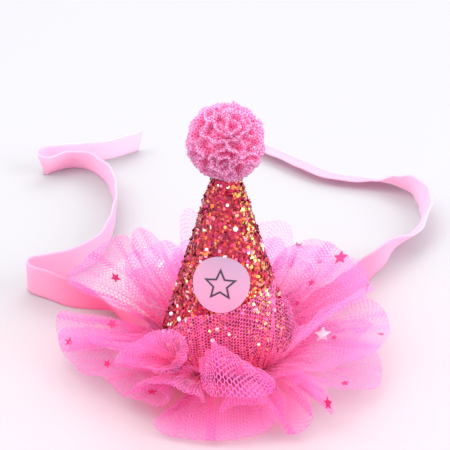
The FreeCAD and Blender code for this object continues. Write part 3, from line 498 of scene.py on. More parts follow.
def ruffle(name, node, keys, zh, seed, mat, single=(), back_to=0.54, sway=()):
    rng = np.random.default_rng(seed)
    K = np.array([[r * math.cos(math.radians(t)), r * math.sin(math.radians(t)), z, l * 100] for t, r, z, l in keys])
    C = catmull(K, 24)
    lift = C[:, 3] / 100
    E = C[:, :3]
    # even spacing
    seg = np.linalg.norm(np.roll(E, -1, 0) - E, axis=1)
    cum = np.concatenate([[0], np.cumsum(seg)])
    L = cum[-1]
    n = int(L / 0.62)
    s = np.arange(n) * L / n
    E = np.stack([np.interp(s, cum, np.append(E[:, i], E[0, i])) for i in range(3)], 1)
    lift = np.interp(s, cum, np.append(lift, lift[0]))
    # where each part of the edge is gathered at the root
    th = np.unwrap(np.arctan2(E[:, 1], E[:, 0]))
    turn = 2 * np.pi
    ramp = th[0] + turn * np.arange(n) / n
    # the closest order-keeping fit: the root never runs backwards though the edge does
    blocks = []
    for x in th:
        blocks.append([float(x), 1])
        while len(blocks) > 1 and blocks[-2][0] > blocks[-1][0]:
            b2, b1 = blocks.pop(), blocks.pop()
            blocks.append([(b1[0] * b1[1] + b2[0] * b2[1]) / (b1[1] + b2[1]), b1[1] + b2[1]])
    fit = np.concatenate([np.full(c, v) for v, c in blocks])
    dev = 0.86 * (fit - ramp)
    f = np.fft.rfft(dev)
    k_ = np.arange(len(f)) / L
    f *= np.exp(-0.5 * (2 * np.pi * k_ * 7.0) ** 2)
    ht = ramp + np.fft.irfft(f, n)
    for lo, hi, deg in sway:
        d_ = (np.degrees(th) + 180) % 360 - 180
        w = np.clip((d_ - lo) / 7.0, 0, 1) * np.clip((hi - d_) / 7.0, 0, 1)
        ht = ht + math.radians(deg) * w * w * (3 - 2 * w)
    step = np.maximum(np.diff(np.append(ht, ht[0] + turn)), 0.06 * turn / n)
    step *= turn / step.sum()
    ht = ht[0] + np.concatenate([[0], np.cumsum(step)[:-1]])
    ht += np.median(fit - ht)
    h = np.stack([np.cos(ht), np.sin(ht)], 1)
    big = ring_noise(n, L, 19.0, rng)
    mid = ring_noise(n, L, 8.0, rng)
    fine = ring_noise(n, L, 2.7, rng)
    gather = ring_noise(n, L, 5.5, rng)
    inner = [(22.6, 0.0), (25.5, 0.0), (28.6, 0.15)]
    rows, vv = [], []
    R0 = np.stack([h[:, 0] * 30.2, h[:, 1] * 30.2, np.full(n, zh + 0.8)], 1)
    out = E - R0
    ln = np.linalg.norm(out, axis=1, keepdims=True)
    P1 = R0 + out * 0.45
    radial = np.stack([h[:, 0], h[:, 1], np.zeros(n)], 1)
    P1 = 0.65 * P1 + 0.35 * (R0 + radial * ln * 0.45)
    P1[:, 2] = R0[:, 2] + (E[:, 2] - R0[:, 2]) * 0.42 + (lift * ln[:, 0] * 1.6) + 0.02 * ln[:, 0]
    for r, dz in inner:
        z = zh + dz + 0.45 * gather * np.clip((r - 22) / 8, 0.25, 1)
        rows.append(np.stack([h[:, 0] * r, h[:, 1] * r, z], 1))
        vv.append((r - 22.6))
    ts = [0.0, 0.05, 0.11, 0.18, 0.26, 0.35, 0.44, 0.54, 0.64, 0.74, 0.83, 0.91, 0.965, 1.0]
    base = [(1 - t) ** 2 * R0 + 2 * (1 - t) * t * P1 + t * t * E for t in ts]
    wlen = float(np.mean(ln)) * 1.05
    # normals from the smooth surface
    tang = np.roll(E, -1, 0) - np.roll(E, 1, 0)
    norms = []
    for i, t in enumerate(ts):
        du = np.roll(base[i], -1, 0) - np.roll(base[i], 1, 0)
        du = du + tang * 0.02
        dv = (2 * (1 - t) * (P1 - R0) + 2 * t * (E - P1))
        nn = np.cross(dv, du)
        nl = np.linalg.norm(nn, axis=1, keepdims=True)
        nn = nn / np.maximum(nl, 1e-6)
        norms.append(nn)
    tn = tang / np.maximum(np.linalg.norm(tang, axis=1, keepdims=True), 1e-6)
    disp = []
    for i, t in enumerate(ts):
        a = 1.15 * big * t * (1 - 0.72 * t * t) + 1.0 * mid * (t ** 0.6) * (1 - t ** 1.5) + 0.85 * gather * math.exp(-((t - 0.10) / 0.22) ** 2) + 0.14 * fine * (1 - 0.8 * t ** 3)
        disp.append(a)
        rows.append(base[i] + norms[i] * a[:, None])
        vv.append(8.0 + wlen * t)
    # the strip is folded along its outer edge and comes back underneath
    outdir = (E - P1); outdir /= np.linalg.norm(outdir, axis=1, keepdims=True)
    gap = 0.55 + 0.30 * ring_noise(n, L, 22.0, rng) * 0.5
    gap = np.clip(gap, 0.25, 1.1)
    rows[-1] = rows[-1] - outdir * 0.10
    rows.append(rows[-1] + outdir * 0.32 - norms[-1] * gap[:, None])
    vv.append(8.0 + wlen + 0.7)
    back_ts = [t for t in (1.0, 0.965, 0.91, 0.83, 0.74, 0.64, 0.54) if t >= back_to]
    for j, t in enumerate(back_ts):
        i = ts.index(t)
        w = 1.0 + 0.9 * j / len(back_ts)
        rows.append(base[i] + norms[i] * (disp[i] * 0.9 - gap * 2 * w + 0.25 * mid * (1 - t))[:, None])
        vv.append(8.0 + wlen + 1.4 + wlen * (1 - t))
    V = np.array(rows)
    V[..., 2] = np.maximum(V[..., 2], 0.35)
    m = len(rows)
    verts = np.concatenate([np.concatenate([r, r[:1]]) for r in V]) * MM
    uu = np.append(s, L)
    uv = np.concatenate([np.stack([uu * MM, np.full(n + 1, v * MM)], 1) for v in vv])
    faces = []
    for j in range(m - 1):
        o0, o1 = j * (n + 1), (j + 1) * (n + 1)
        keep = np.ones(n, bool)
        if j >= len(inner) + len(ts) + 1:
            for lo, hi in single:
                d_ = np.degrees(th) % 360
                keep &= ~((d_ > lo % 360) & (d_ < hi % 360))
        faces += [(o0 + i, o0 + i + 1, o1 + i + 1, o1 + i) for i in range(n) if keep[i]]
    me = mesh_from(name, verts, faces, True, uv, [mat])
    # the net keeps its own mesh size however tightly the strip is gathered, so u is measured along each row, afresh every few centimetres
    gaps = np.linalg.norm(np.roll(V, -1, 1) - V, axis=2)
    run = np.concatenate([np.zeros((m, 1)), np.cumsum(gaps, 1)], 1)
    S = max(6, int(round(L / 40.0)))
    bear = (np.degrees(th) + 180) % 360 - 180
    # how densely the net is packed at each bearing; where it is packed less, the colour is also lifted as painted light
    # from the right
    packing = np.interp(bear, [-180, -155, -140, -65, -48, -20, 45, 90, 140, 158, 180], [.50, .70, .95, .90, .30, .10, .1, .2, .35, .50, .50])
    lu, ld = [], []
    for j in range(m - 1):
        for i in range(n):
            if j >= len(inner) + len(ts) + 1 and any((np.degrees(th[i]) % 360 > lo % 360) and (np.degrees(th[i]) % 360 < hi % 360) for lo, hi in single):
                continue
            k = int(i * S / n)
            c = int((k + 0.5) * n / S)
            for jj, ii in ((j, i), (j, i + 1), (j + 1, i + 1), (j + 1, i)):
                lu.append(((run[jj, ii] - run[jj, c] + 100.0 * k) * MM, vv[jj] * MM))
                ld.append((packing[ii % n], 0.0))
    me.uv_layers["UVMap"].data.foreach_set("uv", np.array(lu, dtype=np.float32).ravel())
    me.uv_layers.new(name="dense").data.foreach_set("uv", np.array(ld, dtype=np.float32).ravel())
    loose = bmesh.new()
    loose.from_mesh(me)
    bmesh.ops.delete(loose, geom=[v for v in loose.verts if not v.link_faces], context="VERTS")
    loose.to_mesh(me)
    loose.free()
    ob = link(name, me)
    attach(ob, ROOT)
    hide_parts(node)
    return ob


PINK = ((1.0, 0.205, 0.630), (1.0, 0.095, 0.410), (1.0, 0.50, 0.90))
tulle = tulle_material("tulle", *PINK)
ruffle_u = ruffle("ruffle_upper_tulle", "ruffle_upper", UPPER, 8.95, 11, tulle, [(-126, -46), (50, 118)], 0.74)
ruffle_m = ruffle("ruffle_middle_tulle", "ruffle_middle", MIDDLE, 6.85, 12, tulle, (), 0.64, [(-108, -66, -15)])
ruffle_l = ruffle("ruffle_lower_tulle", "ruffle_lower", LOWER, 4.75, 13, tulle)


# ------------------------------------------------------------------ glitter on the cone
FOOT_R, FOOT_Z, TOP_R, TOP_Z = 29.0, 9.7, 5.7, 89.0
SLOPE = math.atan2(FOOT_R - TOP_R, TOP_Z - FOOT_Z)


def metal(name, colour, rough=0.22, metallic=0.9, coat=0.6, glow=0.0):
    N = Nodes(name)
    pr = N.n("BsdfPrincipled")
    pr.inputs["Base Color"].default_value = (*colour, 1)
    pr.inputs["Roughness"].default_value = rough
    pr.inputs["Metallic"].default_value = metallic
    pr.inputs["Coat Weight"].default_value = coat
    pr.inputs["Coat Roughness"].default_value = 0.08
    if glow:
        pr.inputs["Emission Color"].default_value = (*colour, 1)
        pr.inputs["Emission Strength"].default_value = glow
    N.l(pr.outputs[0], N.out.inputs[0])
    return N.mat


FLAKES = {
    "crimson": metal("flake_crimson", (0.48, 0.011, 0.052)),
    "magenta": metal("flake_magenta", (0.64, 0.028, 0.15)),
    "rose": metal("flake_rose", (1.0, 0.28, 0.42)),
    "red": metal("flake_red", (0.66, 0.032, 0.036)),
    "orange": metal("flake_orange", (1.0, 0.26, 0.05)),
    "gold": metal("flake_gold", (1.0, 0.60, 0.13)),
    "lemon": metal("flake_lemon", (1.0, 0.86, 0.34)),
    "wine": metal("flake_wine", (0.30, 0.012, 0.045)),
    # painted glint: the white flakes glow a little, as sparkles that no lamp makes
    "white": metal("flake_white_glowing_glint", (1.0, 0.90, 0.74), rough=0.12, glow=0.6),
}
FLAKE_NAMES = list(FLAKES)


def flake_mix(az):
    """Weights for the flake colours at an azimuth in degrees, 0 at the viewer's side and positive to +X."""
    def g(c, w):
        d = (az - c + 180) % 360 - 180
        return math.exp(-(d / w) ** 2)
    # painted light: more gold and lemon towards the right are painted highlights, and more crimson and wine in the
    # middle right and at the left edge are painted shade
    gold = 2.1 * g(54, 19) + 0.20 * g(-66, 16) + 0.30 * g(-160, 50)
    orange = 0.62 * g(-52, 26) + 0.48 * g(42, 24) + 0.35 * g(150, 40)
    deep = 2.8 * g(14, 19) + 0.5 * g(-90, 30)
    return {"crimson": 1.7 + 1.6 * deep, "magenta": 1.1 + 0.3 * g(-15, 30), "rose": 0.38 + 0.55 * g(-45, 28), "red": 0.85 + 0.3 * orange, "orange": 0.16 + orange,
            "gold": 0.07 + 0.9 * gold, "lemon": 0.02 + 0.9 * gold, "wine": 0.52 + 0.6 * deep + 0.6 * g(-75, 22), "white": 0.035}


def flakes():
    rng = np.random.default_rng(7)
    n = 8200
    verts, faces, mi = [], [], []
    for i in range(n):
        # even over the cone's area
        u = rng.random()
        rr = math.sqrt(TOP_R ** 2 + (FOOT_R ** 2 - TOP_R ** 2) * u)
        z = FOOT_Z + (FOOT_R - rr) / (FOOT_R - TOP_R) * (TOP_Z - FOOT_Z)
        a = rng.random() * 2 * math.pi
        ca, sa = math.cos(a), math.sin(a)
        nrm = Vector((ca * math.cos(SLOPE), sa * math.cos(SLOPE), math.sin(SLOPE)))
        up_ = Vector((-ca * math.sin(SLOPE), -sa * math.sin(SLOPE), math.cos(SLOPE)))
        side = nrm.cross(up_)
        tilt = abs(rng.normal(0, 17.0)) if rng.random() < 0.85 else rng.uniform(20, 55)
        az = rng.random() * 2 * math.pi
        ax = side * math.cos(az) + up_ * math.sin(az)
        q = Matrix.Rotation(math.radians(min(tilt, 60)), 3, ax)
        fn = q @ nrm
        e1 = (q @ side)
        e2 = fn.cross(e1)
        rad = (1.05 if i % 150 == 0 else 0.80 if rng.random() < 0.66 else 0.46) * rng.uniform(0.85, 1.12)
        sink = rad * math.sin(math.radians(min(tilt, 60)))
        lift = 0.10 + rng.random() * 0.35 + sink * 0.55
        c = Vector((ca * rr, sa * rr, z)) + nrm * lift
        c.z = min(max(c.z, FOOT_Z + 0.3), TOP_Z - 0.2)
        rot = rng.random() * math.pi
        base = len(verts)
        for k in range(6):
            t = rot + k * math.pi / 3
            p = c + e1 * (rad * math.cos(t)) + e2 * (rad * math.sin(t))
            verts.append((p.x * MM, p.y * MM, p.z * MM))
        faces.append(tuple(base + k for k in range(6)))
        w = flake_mix(math.degrees(math.atan2(ca, -sa)))
        ws = np.array([w[k] for k in FLAKE_NAMES]); ws /= ws.sum()
        ki = int(rng.choice(len(FLAKE_NAMES), p=ws))
        # every 150th flake is a larger white one that glows as a painted glint
        if i % 150 == 0:
            ki = FLAKE_NAMES.index("white")
        mi.append(ki)
    me = mesh_from("cone_glitter", verts, faces, False, None, list(FLAKES.values()), mi)
    ob = link("cone_glitter", me)
    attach(ob, ROOT)
    return ob


flakes()


# ------------------------------------------------------------------ pompom
POM_R, POM_Z, POM_CUT = 16.5, 104.3, 89.0


def pompom():
    rng = np.random.default_rng(21)
    bm = bmesh.new()
    bmesh.ops.create_icosphere(bm, subdivisions=6, radius=1.0)
    bm.verts.ensure_lookup_table(); bm.edges.ensure_lookup_table(); bm.faces.ensure_lookup_table()
    P = np.array([v.co for v in bm.verts])
    edges = [(e.verts[0].index, e.verts[1].index) for e in bm.edges]
    tri = [[e.index for e in f.edges] for f in bm.faces]
    bm.free()

    def field(lam, count, seed):
        r = np.random.default_rng(seed)
        k = r.normal(size=(count, 3)); k /= np.linalg.norm(k, axis=1, keepdims=True)
        k *= 2 * np.pi * POM_R / lam * r.uniform(0.8, 1.2, size=(count, 1))
        ph = r.uniform(0, 2 * np.pi, count)
        w = r.normal(size=count)
        def val(p):
            return (np.cos(p @ k.T + ph) * w).sum(1)
        def grad(p):
            return (-np.sin(p @ k.T + ph) * w) @ k
        return val, grad

    wob = rng.normal(size=(997, 3))
    verts, faces, uvs = [], [], []
    prof = [(-2.0, 7.0), (-1.75, 9.6), (-1.45, 12.0), (-1.05, 14.2), (-0.55, 15.8), (0.0, 16.5), (0.45, 15.8), (0.95, 14.2), (1.40, 12.0), (1.75, 9.6), (2.0, 7.0)]
    for lam, seed, top in ((12.5, 3, 1.0), (10.5, 8, 0.96)):
        val, grad = field(lam, 60, seed)
        f = val(P)
        hv, _ = field(9.0, 40, seed + 50)
        cross = {}
        for ei, (a, b) in enumerate(edges):
            if (f[a] > 0) != (f[b] > 0):
                t = f[a] / (f[a] - f[b])
                p = P[a] * (1 - t) + P[b] * t
                cross[ei] = p / np.linalg.norm(p)
        nxt = {}
        for es in tri:
            c = [e for e in es if e in cross]
            if len(c) == 2:
                nxt.setdefault(c[0], []).append(c[1])
                nxt.setdefault(c[1], []).append(c[0])
        seen = set()
        for start in nxt:
            if start in seen:
                continue
            chain, cur, prev = [start], start, None
            seen.add(start)
            while True:
                opts = [x for x in nxt[cur] if x != prev and x not in seen]
                if not opts:
                    break
                prev, cur = cur, opts[0]
                seen.add(cur)
                chain.append(cur)
            pts = np.array([cross[c] for c in chain])
            closed = len(chain) > 4 and chain[0] in nxt[chain[-1]]
            if len(pts) < 8:
                continue
            # thin out and smooth
            pts = pts[::2]
            for _ in range(3):
                if closed:
                    pts = (np.roll(pts, 1, 0) + 2 * pts + np.roll(pts, -1, 0)) / 4
                else:
                    pts[1:-1] = (pts[:-2] + 2 * pts[1:-1] + pts[2:]) / 4
            pts /= np.linalg.norm(pts, axis=1, keepdims=True)
            if closed:
                pts = np.concatenate([pts, pts[:1]])
            g = grad(pts)
            g -= (g * pts).sum(1, keepdims=True) * pts
            g /= np.maximum(np.linalg.norm(g, axis=1, keepdims=True), 1e-9)
            # keep the ridge's side steady along the chain
            hh = hv(pts); hh = hh / 6.0
            arc = np.concatenate([[0], np.cumsum(np.linalg.norm(np.diff(pts, axis=0), axis=1))]) * POM_R
            m = len(prof)
            b0 = len(verts)
            for i, p in enumerate(pts):
                for lat, rad in prof:
                    r = (rad * top + 0.55 * math.tanh(hh[i]) * (rad - 8) / 8.5) 
                    lean = 0.9 * math.sin(arc[i] * 0.9 + seed) * ((rad - 8.5) / 8) ** 2
                    side_ = np.cross(p, g[i])
                    q = p * (r + wob[i % 997, 0] * 0.22) + g[i] * (lat * (0.8 + 0.25 * math.sin(arc[i] * 1.7)) + lean + wob[(i * 3 + int(rad * 7)) % 997, 1] * 0.16) + side_ * wob[(i * 5 + int(rad * 3)) % 997, 2] * 0.10
                    q = q + np.array([0, 0, POM_Z])
                    if q[2] < POM_CUT + 0.1:
                        q[2] = POM_CUT + 0.1 + 0.02 * abs(lat)
                    verts.append(q * MM)
                v = 0.0
                for j, (lat, rad) in enumerate(prof):
                    if j:
                        v += math.hypot(lat - prof[j - 1][0], rad - prof[j - 1][1])
                    uvs.append((arc[i] * MM, v * MM))
            for i in range(len(pts) - 1):
                for j in range(m - 1):
                    a = b0 + i * m + j
                    faces.append((a, a + 1, a + m + 1, a + m))
    me = mesh_from("pompom_tulle_folds", verts, faces, True, uvs, [POM_MAT])
    ob = link("pompom_tulle_folds", me)
    # a small packed heart keeps the ball from showing daylight
    bm = bmesh.new()
    bmesh.ops.create_icosphere(bm, subdivisions=5, radius=12.2 * MM)
    for v in bm.verts:
        v.co.z = max(v.co.z + POM_Z * MM, (POM_CUT + 0.3) * MM)
    me2 = bpy.data.meshes.new("pompom_heart")
    bm.to_mesh(me2); bm.free()
    me2.polygons.foreach_set("use_smooth", [True] * len(me2.polygons))
    me2.materials.append(POM_HEART)
    ob2 = link("pompom_heart", me2)
    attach(ob2, ROOT)
    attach(ob, ROOT)
    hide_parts("pompom")
    print("pompom faces", len(faces))
    return ob


def pom_material():
    N = Nodes("pompom_tulle")
    uvn = N.n("UVMap", uv_map="UVMap")
    edge = hex_edge(N, uvn.outputs[0], 0.00135)
    ts = N.n("MapRange", interpolation_type="SMOOTHSTEP", clamp=True)
    N.l(edge, ts.inputs[0])
    ts.inputs[1].default_value, ts.inputs[2].default_value = 0.10, 0.24
    ts.inputs[3].default_value, ts.inputs[4].default_value = 1.0, 0.0
    mask = ts.outputs[0]
    sep = N.n("SeparateXYZ"); N.l(uvn.outputs[0], sep.inputs[0])
    # nearness to the ridge top, where the net is folded and catches the light: the colour is painted paler there as
    # highlight and deeper down the folds as painted shade
    half = 0.0100
    d = N.math("ABSOLUTE", N.math("SUBTRACT", sep.outputs[1], half))
    topness = N.n("MapRange", clamp=True)
    N.l(d, topness.inputs[0])
    topness.inputs[1].default_value, topness.inputs[2].default_value = 0.0002, 0.0058
    topness.inputs[3].default_value, topness.inputs[4].default_value = 1.0, 0.0
    col = N.ramp(topness.outputs[0], [(0.0, (0.93, 0.045, 0.21)), (0.45, (1.0, 0.20, 0.50)), (0.80, (1.0, 0.45, 0.80)), (1.0, (1.0, 0.62, 0.93))])
    # painted shade: the holes show a deep crimson for the shaded inside of the ball
    col = N.mix(mask, N.mix(0.62, col, (0.95, 0.06, 0.27)), N.mix(0.22, col, (1.0, 0.60, 0.92)))
    pr = N.n("BsdfPrincipled")
    N.l(col, pr.inputs["Base Color"])
    pr.inputs["Roughness"].default_value = 0.65
    pr.inputs["Sheen Weight"].default_value = 0.6
    pr.inputs["Sheen Roughness"].default_value = 0.4
    pr.inputs["Sheen Tint"].default_value = (1, 0.85, 1, 1)
    N.l(N.bump(mask, 0.7, 0.00025), pr.inputs["Normal"])
    tr = N.n("BsdfTranslucent"); N.l(col, tr.inputs[0])
    both = N.n("MixShader"); both.inputs[0].default_value = 0.35
    N.l(pr.outputs[0], both.inputs[1]); N.l(tr.outputs[0], both.inputs[2])
    clear = N.n("BsdfTransparent")
    see = N.n("MixShader")
    N.l(N.math("MAXIMUM", mask, N.math("MULTIPLY_ADD", topness.outputs[0], 0.10, 0.45), clamp=True), see.inputs[0])
    N.l(clear.outputs[0], see.inputs[1]); N.l(both.outputs[0], see.inputs[2])
    N.l(see.outputs[0], N.out.inputs[0])
    return N.mat


def cloth(name, colour, deep, scale=1500.0, rough=0.85, bump=0.4, sheen=0.4, dist=0.00015):
    N = Nodes(name)
    tc = N.n("TexCoord")
    a = N.noise(tc.outputs["Object"], scale, 4.0, 0.65)
    b = N.noise(tc.outputs["Object"], scale * 0.06, 3.0)
    col = N.mix(a.outputs[0], deep, colour)
    col = N.mix(N.math("MULTIPLY", b.outputs[0], 0.4), col, colour)
    pr = N.n("BsdfPrincipled")
    N.l(col, pr.inputs["Base Color"])
    pr.inputs["Roughness"].default_value = rough
    pr.inputs["Sheen Weight"].default_value = sheen
    pr.inputs["Sheen Roughness"].default_value = 0.4
    N.l(N.bump(a.outputs[0], bump, dist), pr.inputs["Normal"])
    N.l(pr.outputs[0], N.out.inputs[0])
    return N.mat


POM_MAT = pom_material()
def packed_net(name, thread_col, hole_col, scale):
    N = Nodes(name)
    tc = N.n("TexCoord")
    vo = N.n("TexVoronoi", feature="DISTANCE_TO_EDGE"); vo.inputs["Scale"].default_value = scale
    N.l(tc.outputs["Object"], vo.inputs["Vector"])
    ts = N.n("MapRange", interpolation_type="SMOOTHSTEP", clamp=True)
    N.l(vo.outputs["Distance"], ts.inputs[0])
    ts.inputs[1].default_value, ts.inputs[2].default_value = 0.06, 0.20
    ts.inputs[3].default_value, ts.inputs[4].default_value = 1.0, 0.0
    broad = N.noise(tc.outputs["Object"], 160.0, 2.0)
    dark = N.mix(broad.outputs[0], hole_col, tuple(c * 0.75 for c in hole_col))
    pr = N.n("BsdfPrincipled")
    N.l(N.mix(ts.outputs[0], dark, thread_col), pr.inputs["Base Color"])
    pr.inputs["Roughness"].default_value = 0.8
    pr.inputs["Sheen Weight"].default_value = 0.4
    N.l(N.bump(ts.outputs[0], 0.9, 0.0004), pr.inputs["Normal"])
    N.l(pr.outputs[0], N.out.inputs[0])
    return N.mat


POM_HEART = packed_net("pompom_heart", (1.0, 0.30, 0.62), (0.90, 0.05, 0.23), 760.0)
pompom()


# ------------------------------------------------------------------ materials for the CAD pieces that stay
def badge_satin():
    N = Nodes("badge_satin")
    tc = N.n("TexCoord")
    sep = N.n("SeparateXYZ"); N.l(tc.outputs["Object"], sep.inputs[0])
    # painted sheen: the satin's colour runs from pink at the lower left to a greyer lilac at the upper right
    m = N.n("MapRange", clamp=True)
    N.l(N.math("MULTIPLY_ADD", sep.outputs[0], 0.55, sep.outputs[2]), m.inputs[0])
    m.inputs[1].default_value, m.inputs[2].default_value = 0.036, 0.062
    wave = N.math("SINE", N.math("MULTIPLY", N.math("MULTIPLY_ADD", sep.outputs[0], 0.3, sep.outputs[2]), 2 * math.pi / 0.00030))
    cross = N.math("SINE", N.math("MULTIPLY", sep.outputs[0], 2 * math.pi / 0.00045))
    h = N.math("MULTIPLY_ADD", cross, 0.4, wave)
    col = N.ramp(m.outputs[0], [(0.0, (0.74, 0.32, 0.49)), (0.5, (0.60, 0.32, 0.46)), (1.0, (0.43, 0.29, 0.42))])
    pr = N.n("BsdfPrincipled")
    N.l(col, pr.inputs["Base Color"])
    pr.inputs["Roughness"].default_value = 0.38
    pr.inputs["Anisotropic"].default_value = 0.5
    pr.inputs["Sheen Weight"].default_value = 0.4
    pr.inputs["Sheen Roughness"].default_value = 0.3
    N.l(N.bump(h, 0.12, 0.00004), pr.inputs["Normal"])
    N.l(pr.outputs[0], N.out.inputs[0])
    return N.mat


def plain(name, colour, rough=0.6, sub=0.0, coat=0.0, bump_scale=900.0, bump=0.15):
    N = Nodes(name)
    tc = N.n("TexCoord")
    a = N.noise(tc.outputs["Object"], bump_scale, 3.0)
    pr = N.n("BsdfPrincipled")
    dark = tuple(c * 0.86 for c in colour)
    N.l(N.mix(a.outputs[0], dark, colour), pr.inputs["Base Color"])
    N.l(N.math("MULTIPLY_ADD", a.outputs[0], 0.2, rough - 0.1), pr.inputs["Roughness"])
    pr.inputs["Subsurface Weight"].default_value = sub
    pr.inputs["Subsurface Radius"].default_value = (0.002, 0.002, 0.002)
    pr.inputs["Coat Weight"].default_value = coat
    N.l(N.bump(a.outputs[0], bump, 0.0001), pr.inputs["Normal"])
    N.l(pr.outputs[0], N.out.inputs[0])
    return N.mat


def glitter_canvas():
    N = Nodes("glitter_canvas")
    tc = N.n("TexCoord")
    vo = N.n("TexVoronoi"); vo.inputs["Scale"].default_value = 950.0
    N.l(tc.outputs["Object"], vo.inputs["Vector"])
    sep = N.n("SeparateColor"); N.l(vo.outputs["Color"], sep.inputs[0])
    col = N.ramp(sep.outputs[0], [(0.0, (0.25, 0.01, 0.04)), (0.4, (0.62, 0.03, 0.09)), (0.75, (0.85, 0.10, 0.12)), (1.0, (0.95, 0.35, 0.12))])
    pr = N.n("BsdfPrincipled")
    N.l(col, pr.inputs["Base Color"])
    pr.inputs["Metallic"].default_value = 0.7
    N.l(N.math("MULTIPLY_ADD", sep.outputs[1], 0.3, 0.25), pr.inputs["Roughness"])
    N.l(N.bump(sep.outputs[2], 0.5, 0.0003), pr.inputs["Normal"])
    N.l(pr.outputs[0], N.out.inputs[0])
    return N.mat


CAD_MATS = {
    "cone_shell": glitter_canvas(),
    "cone_liner": plain("card_grey", (0.72, 0.66, 0.62), 0.75),
    "badge_card": plain("badge_card", (0.93, 0.90, 0.92), 0.6),
    "badge_adhesive": plain("badge_foam", (0.90, 0.88, 0.88), 0.8),
    "badge_satin_cover": badge_satin(),
    "badge_print": plain("badge_ink", (0.055, 0.035, 0.065), 0.5),
    "felt_backing": cloth("felt_pink_under", (0.95, 0.30, 0.52), (0.80, 0.16, 0.36), 2400.0, 0.95, 0.6, 0.6),
    "felt_base": cloth("felt_pink", (0.95, 0.30, 0.52), (0.80, 0.16, 0.36), 2400.0, 0.95, 0.6, 0.6),
    "felt_glue_film": plain("hot_melt_film", (0.88, 0.80, 0.66), 0.35, 0.2, 0.3),
    "ruffle_glue_ring": plain("hot_melt_ring", (0.90, 0.82, 0.70), 0.30, 0.3, 0.4),
    "cone_base_glue": plain("hot_melt_base", (0.90, 0.82, 0.70), 0.30, 0.3, 0.4),
    "tip_glue_plug": plain("hot_melt_tip", (0.90, 0.82, 0.70), 0.30, 0.3, 0.4),
}
THREAD = cloth("thread_pink", (0.98, 0.35, 0.60), (0.85, 0.16, 0.40), 5200.0, 0.6, 0.7, 0.3, 0.00008)
for n_ in ("tie_tacks", "gathering_thread_lower", "gathering_thread_middle", "gathering_thread_upper", "pompom_tie_thread"):
    CAD_MATS[n_] = THREAD
for n_, m_ in CAD_MATS.items():
    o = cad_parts[n_]
    if o.material_slots:
        for sl in o.material_slots:
            sl.link = "OBJECT"
            sl.material = m_
    else:
        print("no material slot on", n_)


# ------------------------------------------------------------------ star sequins
def star_mesh(name, places, mats, node):
    verts, faces, mi = [], [], []
    for (c, n_, spin, R, k) in places:
        n_ = n_.normalized()
        ref = Vector((0, 0, 1)) if abs(n_.z) < 0.9 else Vector((1, 0, 0))
        e1 = n_.cross(ref).normalized()
        e2 = n_.cross(e1)
        b0 = len(verts)
        for face_off in (0.13, -0.13):
            verts.append(tuple((c + n_ * (face_off * 1.6 * MM))))
            for j in range(10):
                t = spin + j * math.pi / 5
                r = (R if j % 2 == 0 else R * 0.46) * MM
                p = c + e1 * (r * math.cos(t)) + e2 * (r * math.sin(t)) + n_ * (face_off * MM)
                verts.append(tuple(p))
        for j in range(10):
            j2 = (j + 1) % 10
            faces.append((b0, b0 + 1 + j, b0 + 1 + j2)); mi.append(k)
            faces.append((b0 + 11, b0 + 12 + j2, b0 + 12 + j)); mi.append(k)
            faces.append((b0 + 1 + j, b0 + 12 + j, b0 + 12 + j2, b0 + 1 + j2)); mi.append(k)
    me = mesh_from(name, verts, faces, False, None, mats, mi)
    ob = link(name, me)
    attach(ob, ROOT)
    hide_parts(node)
    return ob


bpy.context.view_layer.update()
trees = [BVHTree.FromPolygons([v.co.copy() for v in o.data.vertices], [tuple(p.vertices) for p in o.data.polygons]) for o in (ruffle_u, ruffle_m, ruffle_l)]


def on_tulle(origin, direction):
    best = None
    for t in trees:
        hit = t.ray_cast(origin, direction)
        if hit[0] is not None and (best is None or hit[3] < best[3]):
            best = hit
    return best


eye = Vector(cam.location)
TILT = math.radians(29)
FWD, RIGHT_, UP_ = Vector((0, math.cos(TILT), -math.sin(TILT))), Vector((1, 0, 0)), Vector((0, math.sin(TILT), math.cos(TILT)))
# each star: slope to the right, slope down, spin in degrees, size in mm, kind
STARS = [(-110, 52, 20, 2.7, "pink"), (-114, 99, 0, 2.3, "pink"), (-157, 117, 30, 2.2, "pink"), (-119, 139, 10, 1.9, "pink"), (-74, 168, 0, 2.2, "pink"), (115, 33, 15, 3.9, "pink"),
         (86, 58, 0, 1.9, "pink"), (103, 178, 10, 2.9, "pink"), (119, 159, 0, 1.8, "pink"), (155, 110, 0, 1.4, "pink"), (97, 110, 5, 4.0, "silver"), (108, 113, 40, 1.4, "pink"), (71, 78, 0, 1.5, "pink"), (13, 145, 0, 2.3, "pink")]
rs = random.Random(5)
pink_places, silver_places = [], []
for (du, dv, spin, R, kind) in STARS:
    d = (FWD + RIGHT_ * (du / 1113.0) - UP_ * (dv / 1113.0)).normalized()
    h = on_tulle(eye, d)
    if h is None:
        continue
    p, n_ = h[0], h[1]
    if n_.dot(d) > 0:
        n_ = -n_
    print("star", [round(x / MM, 1) for x in p], kind)
    (silver_places if kind == "silver" else pink_places).append((p + n_ * 0.5 * MM, n_, math.radians(spin), R, 0))
